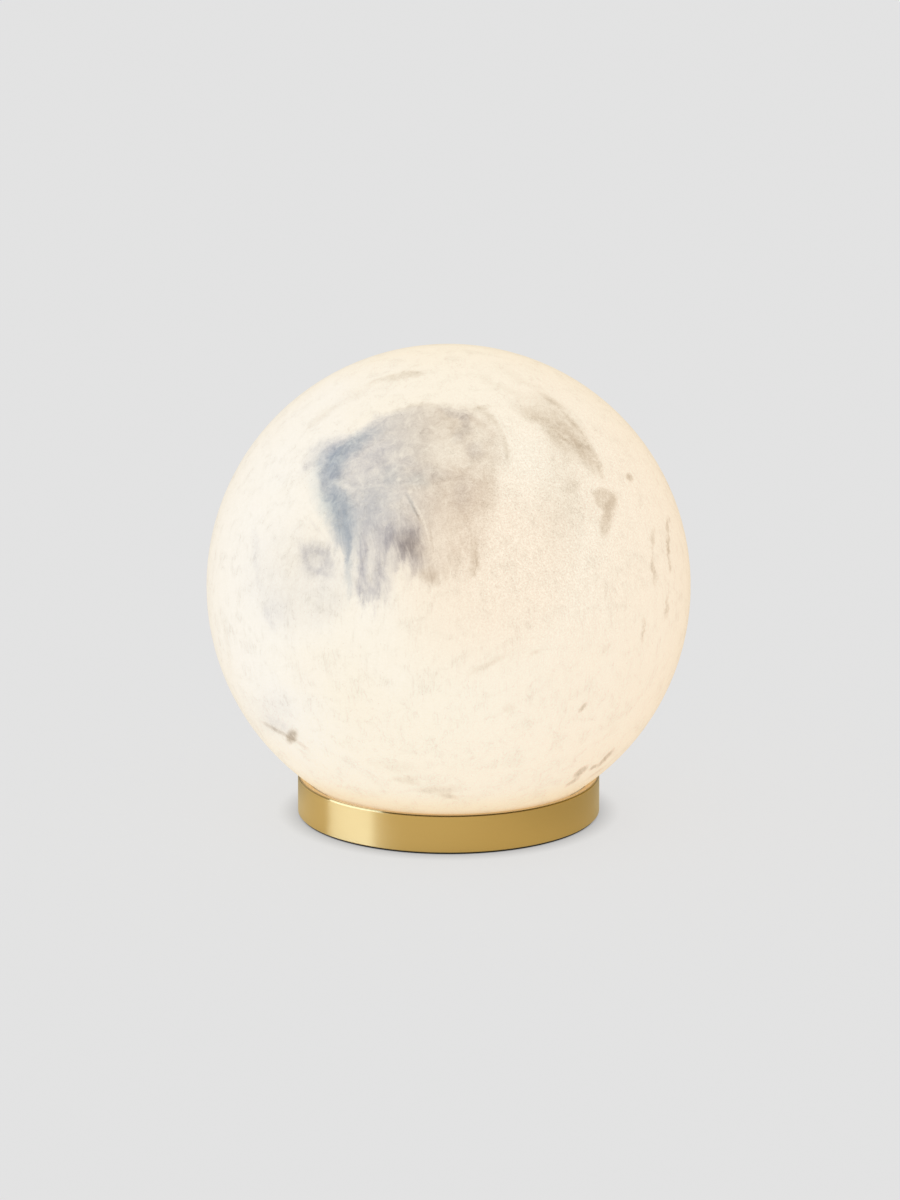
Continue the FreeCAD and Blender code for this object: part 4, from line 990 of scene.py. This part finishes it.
    def fine(self, graph: Graph, place: Socket, face: Socket, clouding: Socket) -> tuple[Socket, Socket]:
        """Makes the crystal speckle, waves, pits and strata.

        Args:
            graph: the group's nodes.
            place: the point in millimetres from the globe's centre.
            face: its place on the front face.
            clouding: the stone's clouding.

        Returns:
            The light that they take per channel, and the speckle.
        """
        speckle = graph.grey(place, *SPECKLE)
        apart = graph.vector("LENGTH", graph.vector("SUBTRACT", face, SPECKLE_AT))
        speckled = graph.times(graph.remap(apart, *SPECKLE_AREA), SPECKLE_MOST, SPECKLE_LEAST)
        speckle_takes = graph.times(graph.minus(speckle, SPECKLE_MEAN), speckled)
        waves = graph.grey(place, *WAVES)
        wave_takes = graph.times(graph.remap(waves, *WAVE_RANGE), WAVE_DEPTH)
        pits = graph.add("TexVoronoi", {"Vector": place, "Scale": PIT_SCALE}, feature="F1").outputs["Distance"]
        clusters = graph.times(graph.remap(clouding, *PIT_CLUSTERS), PIT_DEPTH)
        pit_takes = graph.times(graph.remap(pits, *PIT_RANGE), clusters)
        strata_at = graph.vector("MULTIPLY", self.after(graph, place, pit_takes), STRATA_STRETCH)
        strata = graph.math("ABSOLUTE", graph.minus(graph.grey(strata_at, *STRATA), MIDDLE))
        strata_takes = graph.times(graph.remap(strata, *STRATA_RANGE), graph.remap(waves, *STRATA_DEPTH))
        streaks = graph.plus(wave_takes, graph.plus(pit_takes, strata_takes))
        takes = graph.summed(graph.scaled(SPECKLE_TAKES, speckle_takes), graph.scaled(STREAK_TAKES, streaks))
        return takes, speckle

    def tinted(self, graph: Graph, blue: Socket, grey: Socket, taupe: Socket) -> Socket:
        """Turns the sums of the blue-grey, grey and taupe marks into the light that each channel loses."""
        cool = graph.summed(graph.scaled(BLUE_TAKES, blue), graph.scaled(GREY_TAKES, grey))
        return graph.summed(cool, graph.scaled(TAUPE_TAKES, taupe))

    def glow(self, graph: Graph, place: Socket) -> Socket:
        """Makes the stone's glow: cool at the upper left as a painted sheen of light from the left, cream below,
        peach at the right as a painted shaded side, with slow noise moving the line between them, and peach at
        the seat.

        Args:
            graph: the group's nodes.
            place: the point in millimetres from the globe's centre.

        Returns:
            The colour.
        """
        x, _, z = graph.split(place)
        # Painted light: the glow turns cooler towards the upper left, where light falls from the left, and peach
        # towards the shaded right.
        slow = graph.minus(graph.grey(place, *SLOW_GLOW), MIDDLE)
        sideways = graph.plus(graph.times(slow, GLOW_SWING_MM, x), graph.times(z, GLOW_LEAN))
        haze = graph.remap(graph.vector("DISTANCE", place, HAZE_AT), *HAZE_RANGE)
        warm = graph.math("MAXIMUM", graph.remap(sideways, *WARM_RANGE), haze)
        colour = graph.mix(warm, self.cream, self.peach)
        colour = graph.mix(graph.remap(sideways, *COOL_RANGE), colour, self.cool)
        return graph.mix(graph.times(graph.remap(z, *SEAT_RANGE), SEAT_SHARE), colour, self.seat)


metal = partial(Finish, metallic=1.0)

FINISHES: dict[str, Finish | StoneFinish] = {
    finish.slot: finish
    for finish in (
        StoneFinish(),
        BrassFinish(
            "polished_brass", (0.80, 0.552, 0.225), 0.32, metallic=1.0, grain=Grain.TURNED, change=0.05,
            gloss_change=0.05, fineness=9.0, bump_mm=0.0004, scuff=0.05, anisotropy=1.0, coat=0.2,
            coat_roughness=0.08,
        ),
        metal("collar_aluminium", (0.62, 0.62, 0.63), 0.34, grain=Grain.TURNED, fineness=12.0, bump_mm=0.002),
        Finish("black_moulding", (0.018, 0.018, 0.019), 0.48, bump_mm=0.012),
        metal("zinc_steel", (0.52, 0.53, 0.55), 0.38, patches=0.08, change=0.18, bump_mm=0.003),
        Finish("black_silicone", (0.014, 0.014, 0.015), 0.72, bump_mm=0.02, fineness=4.0),
        metal("dark_screw_steel", (0.07, 0.07, 0.075), 0.36, bump_mm=0.002),
        Finish("insulating_sheet", (0.05, 0.052, 0.056), 0.40, bump_mm=0.008),
        Finish("white_moulding", (0.72, 0.715, 0.69), 0.46, bump_mm=0.012, change=0.05),
        Finish("clear_silicone", (0.75, 0.75, 0.73), 0.38, transmission=0.35, bump_mm=0.004, change=0.05),
        metal("spring_steel", (0.60, 0.60, 0.60), 0.26, bump_mm=0.001),
        Finish("cell_wrap", (0.035, 0.10, 0.22), 0.34, bump_mm=0.006, coat=0.3),
        metal("nickel", (0.66, 0.62, 0.56), 0.30, bump_mm=0.002),
        Finish("grey_foam", (0.10, 0.10, 0.105), 0.90, bump_mm=0.12, fineness=2.2, change=0.5),
        Finish("green_board", (0.012, 0.085, 0.035), 0.36, coat=0.4, bump_mm=0.006),
        Finish("wire_red", (0.42, 0.018, 0.014), 0.42, bump_mm=0.004),
        Finish("wire_black", (0.016, 0.016, 0.016), 0.42, bump_mm=0.004),
        Finish("socket_cream", (0.68, 0.62, 0.48), 0.44, bump_mm=0.006),
        Finish("black_chip", (0.022, 0.022, 0.024), 0.55, bump_mm=0.010),
        metal("capacitor_can", (0.55, 0.55, 0.56), 0.30, bump_mm=0.002),
        metal("inlet_steel", (0.58, 0.57, 0.55), 0.28, bump_mm=0.002),
        Finish("indicator_led", (0.75, 0.74, 0.66), 0.30, bump_mm=0.002),
        Finish("clear_pipe", (0.80, 0.82, 0.82), 0.18, transmission=0.55, bump_mm=0.002, change=0.04),
        metal("spreader_aluminium", (0.66, 0.66, 0.67), 0.40, grain=Grain.TURNED, fineness=8.0, bump_mm=0.003),
        Finish("white_board", (0.78, 0.78, 0.76), 0.34, coat=0.3, bump_mm=0.006, change=0.04),
        Finish("led_package", (0.80, 0.62, 0.22), 0.40, glow=(1.0, 0.80, 0.50), glow_strength=1.2, bump_mm=0.003),
        Finish(
            "opal_diffuser", (0.56, 0.53, 0.48), 0.36, glow=(1.0, 0.86, 0.66), glow_strength=0.40, bump_mm=0.006,
            change=0.03,
        ),
    )
}


class Wardrobe:
    """Builds each finish once and puts it on nodes and pieces."""

    def __init__(self) -> None:
        """Starts with no material made."""
        self.made: dict[str, bpy.types.Material] = {}

    def material(self, slot: str) -> bpy.types.Material:
        """Gives a slot's material.

        Args:
            slot: the slot's name in the record.

        Returns:
            The material.
        """
        if slot not in self.made:
            self.made[slot] = FINISHES[slot].build()
        return self.made[slot]

    def dress(self, slot: str, *nodes: str) -> None:
        """Puts a slot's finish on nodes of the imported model.

        Args:
            slot: the slot's name.
            *nodes: the nodes' names.
        """
        for name in nodes:
            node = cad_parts[name]
            for place in node.material_slots:
                place.material = self.material(slot)
            LOG.info("%s: %s", name, slot)

    def piece(self, mesh: bpy.types.Mesh, name: str, slot: str, body: str, *replaced: str) -> bpy.types.Object:
        """Makes a piece of the scene, dresses it and fixes it to its body.

        Args:
            mesh: its mesh.
            name: its name.
            slot: the slot that it takes its finish from.
            body: the body that it rides on.
            *replaced: the nodes that it stands for.

        Returns:
            The object.
        """
        thing = put(name, mesh)
        mesh.materials.append(self.material(slot))
        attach(thing, body)
        if replaced:
            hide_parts(*replaced)
        LOG.info("%s: new piece on %s", name, body)
        return thing


# Meshes


Outline = list[tuple[float, float]]


def lathe(name: str, outline: Outline, steps: int, sharp: float = 35.0) -> bpy.types.Mesh:
    """Turns a closed outline about the lamp's axis.

    Args:
        name: the mesh's name.
        outline: radius and height of each point, in millimetres, in order round the section.
        steps: how many steps make a full turn.
        sharp: the angle in degrees over which an edge stays sharp.

    Returns:
        The mesh.
    """
    points = []
    for step in range(steps):
        angle = math.tau * step / steps
        points += [(r * MM * math.cos(angle), r * MM * math.sin(angle), z * MM) for r, z in outline]
    count = len(outline)
    faces = []
    for step in range(steps):
        here = step * count
        there = (step + 1) % steps * count
        for n in range(count):
            after = (n + 1) % count
            faces.append((here + n, there + n, there + after, here + after))
    mesh = bpy.data.meshes.new(name)
    mesh.from_pydata(points, [], faces)
    mesh.polygons.foreach_set("use_smooth", [True] * len(faces))
    mesh.set_sharp_from_angle(angle=math.radians(sharp))
    return mesh


def boxes(name: str, places: Iterable[tuple[Vector, Vector]]) -> bpy.types.Mesh:
    """Makes one mesh of separate boxes.

    Args:
        name: the mesh's name.
        places: the low and high corner of each box, in metres.

    Returns:
        The mesh.
    """
    points: list[tuple[float, float, float]] = []
    faces = []
    sides = ((0, 2, 3, 1), (4, 5, 7, 6), (0, 1, 5, 4), (2, 6, 7, 3), (0, 4, 6, 2), (1, 3, 7, 5))
    for low, high in places:
        base = len(points)
        points += [(x, y, z) for z in (low.z, high.z) for y in (low.y, high.y) for x in (low.x, high.x)]
        faces += [tuple(base + n for n in side) for side in sides]
    mesh = bpy.data.meshes.new(name)
    mesh.from_pydata(points, [], faces)
    return mesh


# Sub-assemblies


@dataclass
class SubAssembly:
    """Nodes that belong together. LOOKS names the nodes that take each slot's finish."""

    LOOKS: ClassVar[dict[str, tuple[str, ...]]] = {}
    wardrobe: Wardrobe

    def build(self) -> None:
        """Dresses the nodes."""
        for slot, nodes in self.LOOKS.items():
            self.wardrobe.dress(slot, *nodes)


@dataclass
class StoneGlobe(SubAssembly):
    """The hollow stone globe with its bonded collar."""

    LOOKS = {"alabaster": ("alabaster_globe",), "collar_aluminium": ("globe_collar",)}


@dataclass
class Foot(SubAssembly):
    """The thin ribbed foot under the ring: sizes in millimetres."""

    width: float = 13.0
    rib_pitch: float = 1.5
    groove_width: float = 0.55
    groove_depth: float = 0.3
    slope_share: float = 0.25
    land: float = 1.2
    edge: float = 0.12
    steps: int = 160

    def outline(self) -> Outline:
        """Lays out the foot's section.

        Returns:
            Radius and height of its points, from the inner top edge round the ribs.
        """
        _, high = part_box("foot_pad")
        outer = high.x * PER_MM
        top = high.z * PER_MM
        inner = outer - self.width
        points = [(inner, top), (inner, self.edge), (inner + self.edge, 0.0)]
        start = inner + self.land
        while start + self.groove_width + self.land < outer:
            slope = self.groove_width * self.slope_share
            points += [(start, 0.0), (start + slope, self.groove_depth)]
            points += [(start + self.groove_width - slope, self.groove_depth), (start + self.groove_width, 0.0)]
            start += self.rib_pitch
        return points + [(outer - self.edge, 0.0), (outer, self.edge), (outer, top)]

    def build(self) -> None:
        """Makes the ribbed foot."""
        mesh = lathe("ribbed_foot", self.outline(), self.steps)
        self.wardrobe.piece(mesh, "ribbed_foot", "black_silicone", "base", "foot_pad")


@dataclass
class InletContacts(SubAssembly):
    """The rows of contacts on both faces of the inlet's tongue: sizes in millimetres."""

    count: int = 12
    pitch: float = 0.5
    width: float = 0.26
    proud: float = 0.02
    length_share: float = 0.7
    back_share: float = 0.06

    def build(self) -> None:
        """Makes the contacts."""
        low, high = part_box("usb_c_tongue")
        middle = (low.x + high.x) / 2
        back = high.y - (high.y - low.y) * self.back_share
        front = back - (high.y - low.y) * self.length_share
        places = []
        for n in range(self.count):
            x = middle + (n - (self.count - 1) / 2) * self.pitch * MM
            left, right = x - self.width * MM / 2, x + self.width * MM / 2
            for face, out in ((high.z, high.z + self.proud * MM), (low.z - self.proud * MM, low.z)):
                places.append((Vector((left, front, face)), Vector((right, back, out))))
        self.wardrobe.piece(boxes("inlet_contacts", places), "inlet_contacts", "nickel", "base")


@dataclass
class Base(SubAssembly):
    """The brass ring with its inlet, button, plate and screws."""

    LOOKS = {
        "polished_brass": ("brass_ring", "power_button"),
        "black_moulding": ("port_bezel", "usb_c_tongue", "switch_plunger", "switch_body", "battery_tray"),
        "zinc_steel": ("base_plate", "board_screws", "led_board_screws"),
        "dark_screw_steel": ("base_screws",),
        "insulating_sheet": ("base_insulator",),
        "inlet_steel": ("usb_c_shell",),
        "indicator_led": ("charge_led",),
        "clear_pipe": ("charge_light_pipe",),
    }


@dataclass
class Neck(SubAssembly):
    """The carrier that rises into the globe, with its seat and clips."""

    LOOKS = {"white_moulding": ("chassis",), "clear_silicone": ("seat_gasket",), "spring_steel": ("globe_clips",)}


@dataclass
class Power(SubAssembly):
    """Cells, boards and wires inside the base."""

    LOOKS = {
        "cell_wrap": ("battery_cell_front", "battery_cell_rear"),
        "nickel": ("cell_links",),
        "grey_foam": ("battery_pad",),
        "green_board": ("protection_board", "main_board"),
        "wire_red": ("battery_lead_red", "led_lead_red"),
        "wire_black": ("battery_lead_black", "led_lead_black"),
        "socket_cream": ("wire_sockets", "wire_plugs"),
        "black_chip": ("power_inductor", "controller_chips"),
        "capacitor_can": ("capacitors",),
    }


@dataclass
class LightEngine(SubAssembly):
    """Heat spreader, board, LEDs and opal dome."""

    LOOKS = {
        "spreader_aluminium": ("heat_spreader",),
        "white_board": ("led_board",),
        "led_package": ("led_chips",),
        "opal_diffuser": ("diffuser_dome",),
    }


@dataclass
class Studio:
    """Floor, light and camera."""

    grey: float = 0.766
    world_level: float = 0.80
    floor_half: float = 6.0
    shadow_share: float = 0.15
    # The painted contact shadow: how far ambient occlusion reaches, and its share of the floor's own tone.
    contact: float = 0.0074
    contact_share: float = 0.62
    # Painted warm light on the floor, as metal sees it.
    reflected_warm_light: Colour = (0.98, 0.91, 0.59)
    shade_right: tuple[float, ...] = (0.030, 0.075, 0.0, 0.45)
    shade_behind: tuple[float, ...] = (0.0, 0.050, 0.0, 0.55)
    ceiling: tuple[float, ...] = (0.30, 0.62)
    room_sides: tuple[float, ...] = (-0.8, 0.9)
    room_left: Colour = (0.76, 0.735, 0.575)
    room_right: Colour = (0.57, 0.465, 0.19)
    room_above: Colour = (0.10, 0.095, 0.085)
    box_width: float = 1.10
    box_length: float = 1.5
    box_energy: float = 27.6
    box_colour: Colour = (0.40, 0.58, 1.0)
    box_azimuth: float = math.radians(80.0)
    box_distance: float = 1.2
    box_height: float = 0.76
    box_aim: float = 0.30
    tilt: float = math.radians(15.8)
    distance: float = 4.4077
    lens_mm: float = 400.0
    sensor_mm: float = 36.0
    clips: tuple[float, float] = (0.05, 50.0)
    aim: tuple[float, float, float] = (0.00046, 0.0, 0.07285)

    def build(self) -> None:
        """Makes the studio."""
        self.floor()
        self.world()
        self.soft_box()
        self.camera()
        bpy.context.scene.view_settings.view_transform = "Standard"

    def seen_directly(self, graph: Graph) -> Socket:
        """Tells rays that see the floor's own tone.

        Args:
            graph: the floor's nodes.

        Returns:
            1 for rays from the camera, and for those that metal or glass sends on.
        """
        rays = graph.add("LightPath").outputs
        either = graph.math("MAXIMUM", rays["Is Camera Ray"], rays["Is Glossy Ray"])
        return graph.math("MAXIMUM", either, rays["Is Transmission Ray"])

    def floor(self) -> None:
        """Makes the pale floor. Part of its tone is its own, so that shadows on it stay faint. That own tone
        carries a painted contact shadow from ambient occlusion. Where metal sees it, the floor is painted warm,
        with painted shade to the right and behind.
        """
        half = self.floor_half
        mesh = bpy.data.meshes.new("floor")
        corners = [(-half, -half, 0), (half, -half, 0), (half, half, 0), (-half, half, 0)]
        mesh.from_pydata(corners, [], [(0, 1, 2, 3)])
        floor = put("floor", mesh)
        material, graph = new_material("floor_paper")
        graph.tree.nodes.clear()
        output = graph.add("OutputMaterial")
        paper = graph.add("BsdfDiffuse", {"Color": (self.grey / self.world_level,) * 3})
        # Painted shadow: ambient occlusion darkens the floor's own tone near the lamp as a contact shadow.
        contact = graph.add("AmbientOcclusion", {"Color": (self.grey,) * 3, "Distance": self.contact})
        paler = graph.mix(self.contact_share, (self.grey,) * 3, contact.outputs["Color"])
        # Painted reflection: metal sees the floor tinted as if warm-lit, and darkened as painted shade to the
        # right and behind.
        right, behind, _ = graph.split(graph.add("TexCoord").outputs["Object"])
        sides = graph.remap(right, *self.shade_right), graph.remap(behind, *self.shade_behind)
        warm = graph.mix(1.0, paler, self.reflected_warm_light, "MULTIPLY")
        in_metal = graph.mix(graph.math("MAXIMUM", *sides), warm, BLACK)
        colour = graph.mix(graph.add("LightPath").outputs["Is Glossy Ray"], paler, in_metal)
        tone = graph.add("Emission", {"Color": colour})
        share = graph.times(self.seen_directly(graph), 1.0 - self.shadow_share)
        both = graph.add("MixShader", {0: share, 1: paper.outputs[0], 2: tone.outputs[0]})
        graph.feed(output.inputs["Surface"], both.outputs[0])
        mesh.materials.append(material)

    def world(self) -> None:
        """Lights evenly from all round. Metal sees the pale room near the horizon and a darker ceiling."""
        world = bpy.data.worlds.new("studio")
        bpy.context.scene.world = world
        world.use_nodes = True
        world.node_tree.nodes.clear()
        graph = Graph(world.node_tree)
        rays = graph.add("LightPath").outputs
        direction = graph.split(graph.add("TexCoord").outputs["Generated"])
        height = graph.remap(direction[2], *self.ceiling)
        room = graph.mix(graph.remap(direction[0], *self.room_sides), self.room_left, self.room_right)
        glossy = graph.mix(height, room, self.room_above)
        level = graph.mix(rays["Is Glossy Ray"], (self.world_level,) * 3, glossy)
        colour = graph.mix(rays["Is Camera Ray"], level, (self.grey,) * 3)
        back = graph.add("Background", {"Color": colour, "Strength": 1.0})
        output = graph.add("OutputWorld")
        graph.feed(output.inputs["Surface"], back.outputs[0])

    def soft_box(self) -> None:
        """Hangs the tall soft box whose reflection makes the bright band on the brass."""
        light = bpy.data.lights.new("soft_box", "AREA")
        light.shape = "RECTANGLE"
        light.size = self.box_width
        light.size_y = self.box_length
        light.energy = self.box_energy
        light.color = self.box_colour
        box = put("soft_box", light)
        right, back = math.sin(self.box_azimuth), math.cos(self.box_azimuth)
        box.location = (-self.box_distance * right, -self.box_distance * back, self.box_height)
        towards = Vector((0.0, 0.0, self.box_aim)) - box.location
        box.rotation_euler = towards.to_track_quat("-Z", "Y").to_euler()
        box.visible_diffuse = False
        box.visible_camera = False

    def camera(self) -> None:
        """Sets the camera at the photograph's angle."""
        data = bpy.data.cameras.new("camera")
        data.lens = self.lens_mm
        data.sensor_width = self.sensor_mm
        data.clip_start, data.clip_end = self.clips
        camera = put("camera", data)
        away = Vector((0.0, -math.cos(self.tilt), math.sin(self.tilt)))
        camera.location = Vector(self.aim) + away * self.distance
        camera.rotation_euler = (-away).to_track_quat("-Z", "Y").to_euler()
        bpy.context.scene.camera = camera


def main() -> None:
    """Builds the studio and dresses the lamp, sub-assembly by sub-assembly."""
    logging.basicConfig(level=logging.INFO, format="%(message)s")
    Studio().build()
    build_groups()
    wardrobe = Wardrobe()
    for assembly in (StoneGlobe, Foot, InletContacts, Base, Neck, Power, LightEngine):
        assembly(wardrobe).build()


if __name__ == "__main__":
    main()
